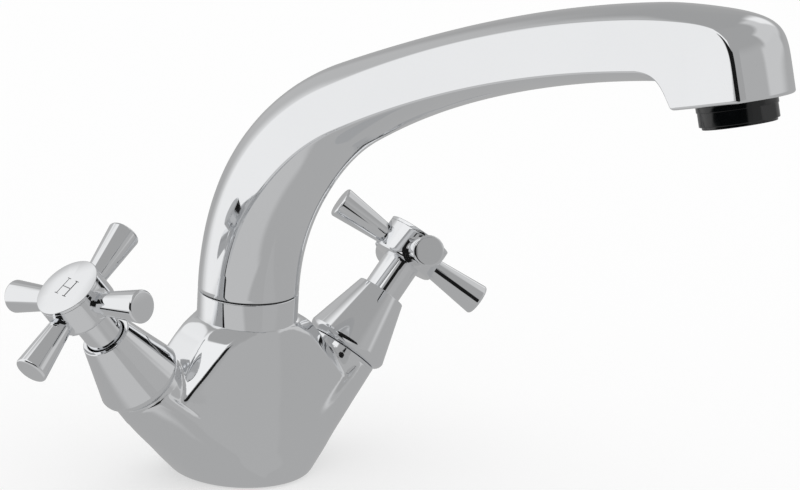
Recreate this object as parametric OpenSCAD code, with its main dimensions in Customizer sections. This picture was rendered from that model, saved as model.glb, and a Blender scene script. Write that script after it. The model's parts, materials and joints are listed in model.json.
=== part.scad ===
// Two-handle kitchen sink mixer with a swivel cast spout.
// Millimetres. The origin is the middle of the base on the deck, +Z is up,
// -Y is the user's side, the hot valve is at -X and the cold valve at +X.

/* [Body casting] */
// Radius of the round base
base_r = 25; // [24:0.5:30]
// Rounding of the base's lower edge
base_edge = 2.2; // [1:0.2:3]
// Height of the shoulder where the collar starts
shoulder_z = 53.8; // [51:0.2:58]
// Radius of the collar and of the spout's foot
collar_r = 17; // [15.5:0.25:19]
// Height of the collar above the shoulder
collar_h = 8.5; // [7:0.5:12]
// Distance of each valve seat's centre from the middle plane
seat_x = 40; // [38:0.5:44]
// Height of each valve seat's centre above the deck
seat_z = 35.5; // [34:0.5:39]
// Lean of each valve axis away from vertical, in degrees
valve_tilt = 39; // [36:0.5:42]
// Radius of the casting's arm just below the seat
lobe_r = 12.8; // [12.6:0.1:14]
// Radius of the short boss that carries the seat
boss_r = 12.6; // [12.2:0.1:12.8]
// Height of that boss above the arm
boss_h = 4.6; // [3:0.2:6]
// Drop of the shoulder towards the valves, below its height in front
shoulder_drop = 1.8; // [0.6:0.2:3]
// Half width over which the shoulder keeps its full height in front
shoulder_flat = 9; // [6:0.5:11]
// Swelling of the casting between the collar and each valve
swell = 0.8; // [0.2:0.1:1.4]

/* [Deck side] */
// Radius at the middle of the base seal's groove
seal_mid_r = 20; // [19:0.25:20.5]
// Width of the base seal
seal_w = 2.8; // [2:0.2:3]
// Depth of the base seal's groove
seal_depth = 2; // [1.5:0.1:3]
// Distance of each inlet from the middle plane
inlet_x = 8; // [7:0.25:9]
// Distance of the inlets behind the middle
inlet_y = 4; // [3:0.25:5]
// Radius of the inlet thread's core
inlet_r = 4.5; // [4:0.1:5]
// Depth of the inlet thread
inlet_depth = 12; // [10:0.5:14]
// Distance of the fixing stud's hole in front of the middle
stud_y = 10; // [9:0.25:11]
// Radius of the fixing stud's thread core
stud_r = 3.4; // [2.5:0.1:4]
// Depth of the fixing stud's hole
stud_depth = 14; // [10:0.5:18]
// Radius of the drilled waterways
water_r = 3; // [2:0.1:3.2]

/* [Spout route] */
// Swing of the spout away from straight ahead as photographed, in degrees
spout_turn = 9; // [-60:1:60]
// Distance from the swivel axis to the middle of the outlet
spout_reach = 202.4; // [190:0.1:225]
// Radius of the first bend above the foot
bend_r = 78.2; // [70:0.2:86]
// Radius of the sweep that follows it
sweep_r = 95.6; // [86:0.2:110]
// Angle of the route above horizontal where the first bend ends
bend_end = 57.3; // [54:0.1:61]
// Angle above horizontal where the sweep ends
sweep_end = 29.4; // [27.6:0.1:31]
// Angle above horizontal where the arm meets the head
arm_end = 12.3; // [11:0.1:14]

/* [Spout section] */
// Half width between the arm's edges
arm_half_w = 12.8; // [12.4:0.1:15]
// Height of the flat side where the arm has left the foot
arm_h = 13.1; // [12:0.1:16]
// Height of the flat side where the head starts
head_side_h = 15.1; // [14:0.1:17]
// Rise of the crowned top above its edges at the head
crown = 4; // [2:0.2:6]
// Extra rise of the crown at the foot's end of the arm
crown_more = 1.2; // [0:0.2:2.4]
// Drop of the rounded underside below its edges
belly = 3.7; // [2:0.1:5]
// Bulge of the sides
side_bulge = 0.5; // [0.3:0.1:1]
// Angle from sideways to the foot's front edge line, in degrees
front_edge_a = 18.6; // [14:0.2:30]
// Angle from sideways to the foot's rear edge line, in degrees
rear_edge_a = 14.2; // [10:0.2:30]
// Distance along the route over which the round foot's top fades into the crown
crown_blend = 91; // [80:1:100]
// Distance along the route over which the round foot's front fades into the underside
belly_blend = 86; // [76:1:96]
// Distance along the route over which the foot's width fades into the arm's
width_blend = 80; // [60:1:100]
// Distance along the route over which the sides take the arm's height
side_blend = 40; // [30:1:50]
// Power of those fades: more makes them more sudden
blend_power = 2.35; // [2:0.05:2.8]

/* [Outlet head] */
// Tilt of the outlet plane, up towards the tip, in degrees
outlet_tilt = 17.1; // [14:0.1:20]
// Length of the head at the outlet plane
head_len = 25.9; // [25.4:0.1:29]
// Distance from the outlet plane's middle back to where the head starts
head_back = 24.7; // [24:0.1:28]
// Height of the head's middle above the outlet plane where it starts
head_rise = 19.5; // [18:0.2:22]
// Height of the straight part of the front wall
front_h = 7.6; // [6:0.1:10]
// Height of the straight part of the back wall
back_h = 4; // [3:0.1:5]
// Lean of the back wall at its top
back_lean = 1.5; // [1:0.1:2.4]
// Bulge of the front wall
front_bulge = 4.1; // [2:0.1:4.5]
// Bulge of the back wall
back_bulge = 1; // [0.5:0.1:1.6]
// Rounding of the head's lower edge
head_edge = 0.9; // [0.5:0.1:1.2]
// Distance of the outlet ahead of the outlet plane's middle
outlet_ahead = 1.2; // [0.6:0.1:1.4]
// How far the arm's top line runs on into the head before it turns down
top_reach = 36.9; // [35:0.1:38]
// How far above the front wall the top line starts to turn into it
top_pull = 12.9; // [12:0.1:14]
// How far the arm's underside runs on before it turns down
under_reach = 6.5; // [5.5:0.1:7.5]
// How far above the back wall the underside starts to turn into it
under_pull = 5.5; // [5:0.1:6.5]

/* [Aerator] */
// Radius of the aerator's thread
aerator_thread_r = 11; // [10.5:0.1:11.2]
// Length of the aerator's thread
aerator_thread_h = 7.5; // [6:0.5:8]
// Radius of the ring below the outlet
aerator_ring_r = 12; // [11.8:0.1:12.2]
// Height of the ring below the outlet
aerator_ring_h = 6.8; // [5:0.2:7.6]
// Radius of the flow straightener
insert_r = 9.5; // [8.6:0.1:9.7]
// Length of the flow straightener
insert_h = 6.5; // [5:0.5:7]
// Width across the ring's spanner flats
flat_w = 22.6; // [22:0.1:23.2]

/* [Spout bearing] */
// Radius of the spigot
spigot_r = 9.4; // [8.6:0.1:9.8]
// Bore of the spigot
spigot_bore_r = 6.2; // [5:0.1:6.4]
// Length of the spigot below the collar's top
spigot_down = 26; // [24:0.5:28]
// Length of the spigot inside the spout
spigot_up = 22; // [14:0.5:24]
// Thickness of the slip washer under the spout
washer_t = 0.5; // [0.4:0.1:1]
// Radius of the slip washer
washer_r = 15.9; // [13:0.1:16]
// Radius of the grub screw at the back of the collar
grub_r = 2.5; // [2:0.1:3]

/* [Valve] */
// Radius of the valve's thread in the body
valve_thread_r = 10.45; // [10:0.05:10.6]
// Length of that thread below the seat
valve_down = 13; // [12:0.5:14]
// Radius of the valve's flange on the seat
flange_r = 11.2; // [11:0.1:11.6]
// Width across the hexagon's flats
hex_w = 17; // [16:0.5:17.5]
// Radius of the neck that the shroud screws on to
neck_r = 8.6; // [8.2:0.1:8.8]
// Radius of the spindle
spindle_r = 4; // [3.6:0.1:4.2]
// Radius of the ceramic discs
disc_r = 8; // [7.4:0.1:8.2]

/* [Shroud] */
// Radius of the shroud at its foot
shroud_r = 14.4; // [14:0.1:15]
// Radius of the shroud at its top
shroud_top_r = 8.6; // [8.2:0.1:9]
// Height of the shroud
shroud_h = 24; // [23:0.25:26]
// Wall of the shroud
shroud_wall = 1.1; // [0.9:0.1:1.2]
// Rounding of the shroud's foot
shroud_round = 3.2; // [2.8:0.1:3.6]

/* [Cross handle] */
// Height of the arms' plane above the seat
hub_z = 41.1; // [40:0.1:44]
// Radius of the hub
hub_r = 11.4; // [11:0.1:12.5]
// Depth of the hub below the arms' plane
hub_down = 4.9; // [4.4:0.1:6]
// Height of the hub above the arms' plane
hub_up = 5.8; // [5.2:0.1:7]
// Rounding of the hub's lower rim
hub_round = 1.2; // [0.6:0.1:1.6]
// Radius of the handle's stem
stem_r = 6.6; // [6.2:0.1:6.9]
// Distance from the handle's axis to the end of an arm
arm_len = 30; // [26:0.5:34]
// Radius of an arm at the hub
arm_root_r = 3.5; // [2.8:0.1:4]
// Radius of an arm at its end
arm_tip_r = 5.55; // [4.4:0.05:6.2]
// Rounding of an arm's end
arm_tip_round = 0.9; // [0.4:0.1:1.4]
// Distance from the handle's axis to the flat round an arm's root
spot_face_x = 10.4; // [9.9:0.1:10.6]
// Radius of that flat
spot_face_r = 5; // [4.4:0.1:5.3]
// Thickness of the index disc
index_t = 1.2; // [0.8:0.1:2]
// Turn of the hot handle's cross as photographed, in degrees
hot_cross_a = 17.6; // [0:0.2:90]
// Turn of the cold handle's cross as photographed, in degrees
cold_cross_a = 61.8; // [0:0.2:90]

/* [Hidden] */

$fn = 64;
HOT = -1;
COLD = 1;
DEG = 180 / PI;
// Overshoot of every cut past the face that it opens
cut = 0.5;
// Play between fixed pieces that fit each other
fit = 0.05;
// Play of a turning fit
run = 0.06;
// Thickness of the discs over which the casting's skin is stretched
thin = 0.1;

chrome = [0.78, 0.79, 0.81];
brass = [0.78, 0.62, 0.32];
rubber = [0.12, 0.12, 0.13];
nylon = [0.88, 0.87, 0.82];
black_plastic = [0.08, 0.09, 0.10];
ceramic = [0.92, 0.91, 0.88];
steel = [0.66, 0.67, 0.69];

collar_z = shoulder_z + collar_h;
foot_z = collar_z + washer_t;

// Ring of rectangular section standing on z
module ring(outer, inner, h, z = 0) {
  translate([0, 0, z]) difference() {
    cylinder(r = outer, h = h);
    translate([0, 0, -cut]) cylinder(r = inner, h = h + 2 * cut);
  }
}

// Ring of round section with its middle at height z
module o_ring(mid, thick, z) {
  translate([0, 0, z]) rotate_extrude() translate([mid, 0]) circle(r = thick, $fn = 24);
}

// Straight drilling from point p to point q
module drill(p, q, r) {
  d = q - p;
  len = norm(d);
  translate(p) rotate([0, acos(d[2] / len), atan2(d[1], d[0])]) cylinder(r = r, h = len, $fn = 32);
}

// Frame of a valve: origin at the seat's centre, +Z out along the valve's axis
module at_valve(side) {
  translate([side * seat_x, 0, seat_z]) rotate([0, side * valve_tilt, 0]) children();
}

// A point on a valve's axis, z above the seat
function on_axis(side, z) =
  [side * (seat_x + z * sin(valve_tilt)), 0, seat_z + z * cos(valve_tilt)];

// Body casting

// Bore for the spigot and its clearance
bore_r = spigot_r + 0.2;
chamber_z = collar_z - spigot_down - 3;
seal_pocket_r = disc_r + 0.6;
seal_pocket_h = 2.6;
pocket_z = -valve_down - seal_pocket_h;
grub_z = shoulder_z + collar_h / 2;
grub_tip_r = 1.5;
grub_groove_r = spigot_r - 1.4;
// Step from the collar to the shoulder
shoulder_step = 0.2;
// Outer part of each boss that the casting's skin takes in: depth below the seat and where it starts
seat_lip = 0.8;
lip_from = 10;
// Share of the lower edge's radius at the step halfway round it
edge_mid = 0.3;
// Depth to which the collar and the bosses reach into the casting's skin
collar_root = 4;
boss_root = 3;

module body_form() {
  side_z = shoulder_z - shoulder_drop;
  mid_r = (collar_r + lobe_r) / 2 + swell;
  mid_x = (seat_x - boss_h * sin(valve_tilt)) / 2;
  mid_z = (side_z + seat_z - boss_h * cos(valve_tilt)) / 2;
  hull() {
    cylinder(r = base_r - base_edge, h = thin);
    translate([0, 0, edge_mid * base_edge]) cylinder(r = base_r - edge_mid * base_edge, h = thin);
    translate([0, 0, base_edge]) cylinder(r = base_r, h = thin);
    translate([0, 0, side_z]) cylinder(r = collar_r + shoulder_step, h = thin);
    intersection() {
      translate([0, 0, shoulder_z - thin]) cylinder(r = collar_r + 2 * shoulder_step, h = thin);
      translate([-shoulder_flat, -collar_r - 1, 0]) cube([2 * shoulder_flat, 2 * collar_r + 2, shoulder_z]);
    }
    for (side = [HOT, COLD]) {
      translate([side * mid_x, 0, mid_z]) rotate([0, side * valve_tilt / 2, 0])
        cylinder(r = mid_r, h = thin, $fn = 48);
      at_valve(side) {
        translate([0, 0, -boss_h - thin]) cylinder(r = lobe_r, h = thin);
        translate([0, 0, -seat_lip - thin]) intersection() {
          cylinder(r1 = lobe_r - 2 * thin, r2 = lobe_r, h = thin);
          translate([side * (lip_from + lobe_r), 0, 0]) cube([2 * lobe_r, 2 * lobe_r, 3 * thin], center = true);
        }
      }
    }
  }
}

module body_casting() {
  color(chrome) difference() {
    union() {
      body_form();
      translate([0, 0, shoulder_z - collar_root]) cylinder(r = collar_r, h = collar_h + collar_root);
      for (side = [HOT, COLD])
        at_valve(side) translate([0, 0, -boss_h - boss_root]) cylinder(r = boss_r, h = boss_h + boss_root);
    }
    translate([0, 0, chamber_z]) cylinder(r = bore_r, h = collar_z - chamber_z + cut);
    translate([0, bore_r - 1, grub_z]) rotate([-90, 0, 0]) cylinder(r = grub_r + fit, h = collar_r);
    for (side = [HOT, COLD]) {
      at_valve(side) {
        translate([0, 0, -valve_down - fit])
          cylinder(r = valve_thread_r + fit, h = valve_down + fit + cut);
        translate([0, 0, pocket_z]) cylinder(r = seal_pocket_r, h = seal_pocket_h + cut);
      }
      translate([side * inlet_x, inlet_y, -cut]) cylinder(r = inlet_r, h = inlet_depth + cut);
      drill([side * inlet_x, inlet_y, inlet_depth + 1], on_axis(side, pocket_z + 1), water_r);
      drill(on_axis(side, -valve_down + 4), [side * 4, 0, chamber_z + 4], water_r);
    }
    translate([0, -stud_y, -cut]) cylinder(r = stud_r, h = stud_depth + cut);
    ring(seal_mid_r + seal_w / 2 + fit, seal_mid_r - seal_w / 2 - fit, seal_depth + cut, -cut);
  }
}

module base_seal() {
  color(rubber) ring(seal_mid_r + seal_w / 2, seal_mid_r - seal_w / 2, seal_depth - fit);
}

module slip_washer() {
  color(black_plastic) ring(washer_r, bore_r, washer_t, collar_z);
}

module spout_grub_screw() {
  tip_y = grub_groove_r + 0.3;
  shank_y = bore_r + 0.3;
  end_y = collar_r - 0.6;
  color(steel) translate([0, 0, grub_z]) rotate([-90, 0, 0]) difference() {
    union() {
      translate([0, 0, tip_y]) cylinder(r = grub_tip_r, h = shank_y - tip_y + cut);
      translate([0, 0, shank_y]) cylinder(r = grub_r, h = end_y - shank_y);
    }
    translate([0, 0, end_y - 2]) cylinder(r = grub_r * 0.55, h = 2 + cut, $fn = 6);
  }
}

// Valve: headwork, discs and seals, in the valve's own frame

flange_h = 1.8;
hex_top = flange_h + 5.4;
neck_top = hex_top + 5;
head_top = neck_top + 6.5;
cavity_top = -5;
disc_h = 2.1;
fixed_z = -valve_down + 0.1;
moving_z = fixed_z + disc_h + fit;
drive_z = moving_z + disc_h + fit;
drive_h = 2;
tang_w = 3;
tang_l = 11;
tang_h = 0.9;
valve_groove_r = valve_thread_r - 1.25;
valve_ring_z = -1.9;

module valve_body() {
  color(brass) difference() {
    union() {
      translate([0, 0, -valve_down]) cylinder(r = valve_thread_r, h = valve_down);
      cylinder(r = flange_r, h = flange_h);
      cylinder(r = hex_w / sqrt(3), h = hex_top, $fn = 6);
      cylinder(r = neck_r, h = neck_top);
      cylinder(r = spindle_r + 2.4, h = head_top);
    }
    translate([0, 0, -valve_down - cut]) cylinder(r = disc_r + 0.3, h = valve_down + cavity_top + cut);
    translate([0, 0, cavity_top - cut]) cylinder(r = spindle_r + run, h = head_top - cavity_top + 2 * cut);
    ring(valve_thread_r + cut, valve_groove_r, 1.5, valve_ring_z - 0.75);
  }
}

module valve_o_ring() {
  color(rubber) o_ring(valve_groove_r + 0.62, 0.57, valve_ring_z);
}

module fixed_disc() {
  color(ceramic) translate([0, 0, fixed_z]) difference() {
    cylinder(r = disc_r + 0.2, h = disc_h);
    for (x = [-1, 1]) translate([x * disc_r * 0.5, 0, -cut])
      cylinder(r = disc_r * 0.3, h = disc_h + 2 * cut);
  }
}

module moving_disc() {
  color(ceramic) translate([0, 0, moving_z]) difference() {
    cylinder(r = disc_r, h = disc_h);
    for (y = [-1, 1]) translate([0, y * disc_r * 0.55, -cut])
      cylinder(r = disc_r * 0.26, h = disc_h + 2 * cut);
    translate([-tang_l / 2 - fit, -tang_w / 2 - fit, disc_h - tang_h - fit])
      cube([tang_l + 2 * fit, tang_w + 2 * fit, tang_h + fit + cut]);
  }
}

module seat_seal() {
  color(rubber) ring(seal_pocket_r - fit, disc_r - 2.2, seal_pocket_h - 0.1, pocket_z);
}

// Spindle, with its splined end, seal grooves and clip groove

spindle_top = hub_z - 8;
spline_z = head_top + 2.4;
spline_teeth = 18;
spindle_ring_z = [3.5, 8.5];
spindle_groove_r = spindle_r - 1.15;
clip_groove_r = spindle_r - 0.7;
clip_z = head_top + 0.3;
clip_t = 0.9;
screw_r = 2.4;
screw_z = spindle_top - 9;

module spindle() {
  color(brass) difference() {
    union() {
      translate([0, 0, drive_z]) cylinder(r = disc_r - 0.3, h = drive_h);
      translate([0, 0, drive_z]) cylinder(r = spindle_r, h = spline_z - drive_z);
      translate([-tang_l / 2, -tang_w / 2, drive_z - tang_h]) cube([tang_l, tang_w, tang_h + 1]);
      translate([0, 0, spline_z - 1]) linear_extrude(spindle_top - spline_z + 1)
        polygon([for (i = [0 : 2 * spline_teeth - 1])
          let (r = spindle_r - (i % 2 == 0 ? 0.05 : 0.45), a = i * 180 / spline_teeth)
          [r * cos(a), r * sin(a)]]);
    }
    for (z = spindle_ring_z) ring(spindle_r + cut, spindle_groove_r, 1.5, z - 0.75);
    ring(spindle_r + cut, clip_groove_r, clip_t + 0.1, clip_z - 0.05);
    translate([0, 0, screw_z - 1]) cylinder(r = screw_r + fit, h = spindle_top - screw_z + 1 + cut);
  }
}

module spindle_o_rings() {
  color(rubber) for (z = spindle_ring_z) o_ring(spindle_groove_r + 0.58, 0.54, z);
}

module spindle_clip() {
  color(steel) difference() {
    ring(spindle_r + 1.6, clip_groove_r + 0.04, clip_t, clip_z);
    translate([0, -1.2, clip_z - cut]) cube([spindle_r + 3, 2.4, clip_t + 2 * cut]);
  }
}

// Shroud: a turned bell with a rolled foot, screwed on to the valve's neck

shroud_hole_r = stem_r + 0.45;

module shroud() {
  rib_z = hex_top + 1;
  rib_h = 3.4;
  slope = (shroud_r - shroud_top_r) / (shroud_h - shroud_round);
  color(chrome) rotate_extrude($fn = 96) difference() {
    hull() {
      translate([0, shroud_round]) square([shroud_r, 0.01]);
      translate([0, shroud_h - 0.4]) square([shroud_top_r, 0.01]);
      translate([0, shroud_h - 0.01]) square([shroud_top_r - 0.4, 0.01]);
      translate([shroud_r - shroud_round, shroud_round]) intersection() {
        circle(r = shroud_round, $fn = 48);
        translate([0, -shroud_round]) square(shroud_round);
      }
      square([shroud_r - shroud_round, 0.01]);
    }
    difference() {
      polygon([[-1, -1], [flange_r + 0.3, -1], [flange_r + 0.3, shroud_round],
               [shroud_top_r + slope - shroud_wall, shroud_h - 1.4], [-1, shroud_h - 1.4]]);
      translate([neck_r + fit, rib_z]) square([shroud_r, rib_h]);
    }
    translate([-1, shroud_h - 3]) square([shroud_hole_r + 1, 4]);
  }
}

// Cross handle: hub, stem and four tapered arms

hub_bottom = hub_z - hub_down;
hub_top = hub_z + hub_up;
stem_bottom = spline_z - 0.4;
plug_r = hub_r - 3.4;
plug_h = 2.6;
screw_head_r = 4.6;
screw_head_h = 2.8;
web_bottom = spindle_top + 0.3;
web_top = web_bottom + 2.6;

// Outline of one arm from the hub's middle to its rounded end, turned about its axis
module cross_arm() {
  tip_x = arm_len - arm_tip_round;
  rotate([0, 90, 0]) rotate_extrude($fn = 64) {
    polygon(concat([[0, spot_face_x - 1.5], [arm_root_r, spot_face_x - 1.5]],
      [for (a = [0 : 15 : 90])
        [arm_tip_r - arm_tip_round + arm_tip_round * cos(a), tip_x + arm_tip_round * sin(a)]],
      [[0, arm_len]]));
  }
}

module handle(cross_a) {
  color(chrome) difference() {
    union() {
      difference() {
        rotate_extrude($fn = 96) polygon(concat([[0, hub_bottom], [hub_r - hub_round, hub_bottom]],
          [for (a = [0 : 15 : 90])
            [hub_r - hub_round + hub_round * sin(a), hub_bottom + hub_round - hub_round * cos(a)]],
          [[hub_r, hub_top], [0, hub_top]]));
        for (i = [0 : 3]) rotate([0, 0, cross_a + 90 * i]) translate([spot_face_x, 0, hub_z])
          rotate([0, 90, 0]) cylinder(r = spot_face_r, h = hub_r);
      }
      translate([0, 0, stem_bottom]) cylinder(r = stem_r, h = hub_bottom - stem_bottom + 1);
      for (i = [0 : 3]) translate([0, 0, hub_z]) rotate([0, 0, cross_a + 90 * i]) cross_arm();
    }
    translate([0, 0, stem_bottom - cut]) cylinder(r = spindle_r + 0.1, h = web_bottom - stem_bottom + cut);
    translate([0, 0, web_bottom - cut]) cylinder(r = screw_r + 0.15, h = web_top - web_bottom + 2 * cut);
    translate([0, 0, web_top]) cylinder(r = screw_head_r + 0.4, h = hub_top - web_top);
    translate([0, 0, hub_top - plug_h - 0.1]) cylinder(r = plug_r + fit, h = plug_h + 0.1 + cut);
  }
}

module handle_screw() {
  color(steel) difference() {
    union() {
      translate([0, 0, screw_z]) cylinder(r = screw_r, h = web_top - screw_z + cut);
      translate([0, 0, web_top]) cylinder(r = screw_head_r, h = screw_head_h);
    }
    translate([0, 0, web_top + screw_head_h - 1.8]) cylinder(r = 2, h = 1.8 + cut, $fn = 6);
  }
}

module index() {
  color(chrome) union() {
    translate([0, 0, hub_top]) cylinder(r = hub_r, h = index_t, $fn = 96);
    translate([0, 0, hub_top - plug_h]) cylinder(r = plug_r, h = plug_h + index_t / 2);
  }
}

// Spout: its route is three arcs in one upright plane, s forward and z up

function ease(x) = let (t = min(1, max(0, x))) t * t * (3 - 2 * t);
function arc_from(p, r, a0, a1) = p + r * [sin(a0) - sin(a1), cos(a1) - cos(a0)];

foot_front = collar_r * sin(front_edge_a);
foot_rear = collar_r * sin(rear_edge_a);
foot_mid = [(foot_front - foot_rear) / 2, foot_z];
bend_stop = arc_from(foot_mid, bend_r, 90, bend_end);
sweep_stop = arc_from(bend_stop, sweep_r, bend_end, sweep_end);
arm_stop_s = spout_reach - (head_back + outlet_ahead) * cos(outlet_tilt) - head_rise * sin(outlet_tilt);
arm_r = (arm_stop_s - sweep_stop[0]) / (sin(sweep_end) - sin(arm_end));
arm_stop = arc_from(sweep_stop, arm_r, sweep_end, arm_end);
bend_len = bend_r * (90 - bend_end) / DEG;
sweep_len = sweep_r * (bend_end - sweep_end) / DEG;
arm_len_s = arm_r * (sweep_end - arm_end) / DEG;
route_len = bend_len + sweep_len + arm_len_s;

function route_angle(l) =
  l < bend_len ? 90 - l / bend_r * DEG :
  l < bend_len + sweep_len ? bend_end - (l - bend_len) / sweep_r * DEG :
  sweep_end - (l - bend_len - sweep_len) / arm_r * DEG;
function route_point(l) =
  l < bend_len ? arc_from(foot_mid, bend_r, 90, route_angle(l)) :
  l < bend_len + sweep_len ? arc_from(bend_stop, sweep_r, bend_end, route_angle(l)) :
  arc_from(sweep_stop, arm_r, sweep_end, route_angle(l));

// Outlet frame in the route's plane: t forward along the outlet plane, u up out of it
outlet_t = [cos(outlet_tilt), sin(outlet_tilt)];
outlet_u = [-sin(outlet_tilt), cos(outlet_tilt)];
head_mid = arm_stop + head_back * outlet_t - head_rise * outlet_u;
outlet_z = head_mid[1] + outlet_ahead * outlet_t[1];
function in_head(t, u) = head_mid + t * outlet_t + u * outlet_u;

function bezier(p, v) = let (w = 1 - v)
  w ^ 3 * p[0] + 3 * w * w * v * p[1] + 3 * w * v * v * p[2] + v ^ 3 * p[3];

// Share of the round foot that is left at length l when it fades over a distance d
function fade(l, d) = exp(-((l / d) ^ blend_power));

// Height of the flat side along the route, from the round foot to the head
function side_h(l) = arm_h + (head_side_h - arm_h) * l / route_len
  + (foot_front + foot_rear - arm_h) * fade(l, side_blend);

// Height that a chord of length c cuts off a circle of radius r
function cap_height(r, c) = r - sqrt(max(0, r * r - c * c / 4));

foot_rear_w = collar_r * cos(rear_edge_a);
foot_front_w = collar_r * cos(front_edge_a);
foot_side_chord = norm([foot_front + foot_rear, foot_front_w - foot_rear_w]);

// A station of the loft: lower edge point, upper edge point, lower and upper half widths,
// bulge of the underside, of the sides and of the top
function route_station(l) =
  let (p = route_point(l), a = route_angle(l), n = [-sin(a), cos(a)], h = side_h(l), f = fade(l, width_blend),
       top = crown + crown_more * (1 - l / route_len))
  [p - n * h / 2, p + n * h / 2,
   arm_half_w + (foot_front_w - arm_half_w) * f,
   arm_half_w + (foot_rear_w - arm_half_w) * f,
   belly + (collar_r - foot_front - belly) * fade(l, belly_blend),
   side_bulge + (cap_height(collar_r, foot_side_chord) - side_bulge) * f,
   top + (collar_r - foot_rear - top) * fade(l, crown_blend)];

arm_dir = [cos(arm_end), sin(arm_end)];
arm_up = [-sin(arm_end), cos(arm_end)];
top_start = arm_stop + arm_up * head_side_h / 2;
under_start = arm_stop - arm_up * head_side_h / 2;
front_top = in_head(head_len / 2, front_h);
back_top = in_head(-head_len / 2 - back_lean, back_h);
back_dir = (back_top - in_head(-head_len / 2, 0)) / norm(back_top - in_head(-head_len / 2, 0));
top_curve = [top_start, top_start + top_reach * arm_dir, front_top + top_pull * outlet_u, front_top];
under_curve = [under_start, under_start + under_reach * arm_dir, back_top + under_pull * back_dir, back_top];

// Bulge of the head's flat sides, and how much sooner the underside flattens than the top
least_bulge = 0.05;
back_haste = 1.4;

function head_station(v) =
  [bezier(under_curve, v), bezier(top_curve, v), arm_half_w, arm_half_w,
   belly + (back_bulge - belly) * ease(v * back_haste), side_bulge * (1 - ease(v)) + least_bulge,
   crown + (front_bulge - crown) * ease(v)];

// Straight walls of the head, then its rounded lower edge; a is the turn along that edge
function wall_station(a) =
  let (in = head_edge * (1 - cos(a)), u = head_edge * (1 - sin(a)), lean = back_lean * u / back_h)
  [in_head(in - head_len / 2 - lean, u), in_head(head_len / 2 - in, u), arm_half_w - in, arm_half_w - in,
   back_bulge, least_bulge, front_bulge];

// Points of an arc from a to b that bulges by g to the left of that direction, without b
function bulged(a, b, g, n) =
  let (c = norm(b - a), r = (c * c / 4 + g * g) / (2 * g), half = asin(min(1, c / 2 / r)),
       d = (b - a) / c, left = [-d[1], d[0]], mid = (a + b) / 2 + left * (g - r))
  [for (i = [0 : n - 1]) let (t = -half + 2 * half * i / n) mid + r * (cos(t) * left + sin(t) * d)];

side_steps = 5;
crown_steps = 11;

// One ring of the loft, as points [across, forward, up]
function loft_ring(st) =
  let (h = norm(st[1] - st[0]), up = (st[1] - st[0]) / h,
       flat = concat(bulged([-st[2], 0], [-st[3], h], st[5], side_steps),
                     bulged([-st[3], h], [st[3], h], st[6], crown_steps),
                     bulged([st[3], h], [st[2], 0], st[5], side_steps),
                     bulged([st[2], 0], [-st[2], 0], st[4], crown_steps)))
  [for (q = flat) let (p = st[0] + up * q[1]) [q[0], -p[0], p[1]]];

ring_n = 2 * (side_steps + crown_steps);
route_steps = 30;
head_steps = 14;
edge_steps = 4;
stations = concat([for (i = [0 : route_steps - 1]) route_station(route_len * i / route_steps)],
                  [for (i = [0 : head_steps]) head_station(i / head_steps)],
                  [for (i = [0 : edge_steps]) wall_station(90 * i / edge_steps)]);

module spout_form() {
  rings = [for (st = stations) loft_ring(st)];
  last = len(rings) - 1;
  polyhedron(points = [for (r = rings) each r],
    faces = concat([[for (i = [0 : ring_n - 1]) i]],
      [for (k = [0 : last - 1], i = [0 : ring_n - 1], half = [0, 1])
        let (j = (i + 1) % ring_n, a = k * ring_n, b = a + ring_n)
        half == 0 ? [a + i, b + i, b + j] : [a + i, b + j, a + j]],
      [[for (i = [ring_n - 1 : -1 : 0]) last * ring_n + i]]));
}

module turned() {
  rotate([0, 0, spout_turn]) children();
}

// Frame of the outlet: +Z up into the spout
module at_outlet() {
  turned() translate([0, -spout_reach, outlet_z]) rotate([-outlet_tilt, 0, 0]) children();
}

screen_t = 0.5;
aerator_seal_t = 1.5;
socket_h = aerator_thread_h + screen_t + aerator_seal_t;

module spout() {
  color(chrome) difference() {
    turned() spout_form();
    translate([0, 0, foot_z - cut]) cylinder(r = spigot_r + fit, h = spigot_up + cut + fit);
    translate([0, 0, foot_z]) cylinder(r = spigot_bore_r, h = spigot_up + 4);
    at_outlet() {
      translate([0, 0, -cut]) cylinder(r = aerator_thread_r + fit, h = socket_h + cut);
      cylinder(r = 6, h = socket_h + 3);
    }
  }
}

spigot_z = collar_z - spigot_down;
ring_z = [spigot_z + 3.5, spigot_z + 8];
spigot_groove_r = spigot_r - 1.8;
bearing_z = spigot_z + 11.5;
bearing_h = 5;
bearing_in_r = spigot_r - 0.9;

module spout_spigot() {
  color(brass) difference() {
    translate([0, 0, spigot_z]) cylinder(r = spigot_r, h = foot_z + spigot_up - spigot_z);
    translate([0, 0, spigot_z - cut])
      cylinder(r = spigot_bore_r, h = foot_z + spigot_up - spigot_z + 2 * cut);
    for (z = ring_z) ring(spigot_r + cut, spigot_groove_r, 2.5, z - 1.25);
    ring(spigot_r + cut, bearing_in_r - fit, bearing_h + 2 * fit, bearing_z - fit);
    ring(spigot_r + cut, grub_groove_r, 2 * grub_tip_r + 0.6, grub_z - grub_tip_r - 0.3);
  }
}

module spigot_o_rings() {
  color(rubber) for (z = ring_z)
    o_ring((spigot_groove_r + bore_r) / 2, (bore_r - spigot_groove_r) / 2 - 0.05, z);
}

module spigot_bearing() {
  color(nylon) ring(bore_r - run, bearing_in_r, bearing_h, bearing_z);
}

// Aerator, in the outlet's frame

lip_h = 0.8;

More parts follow.
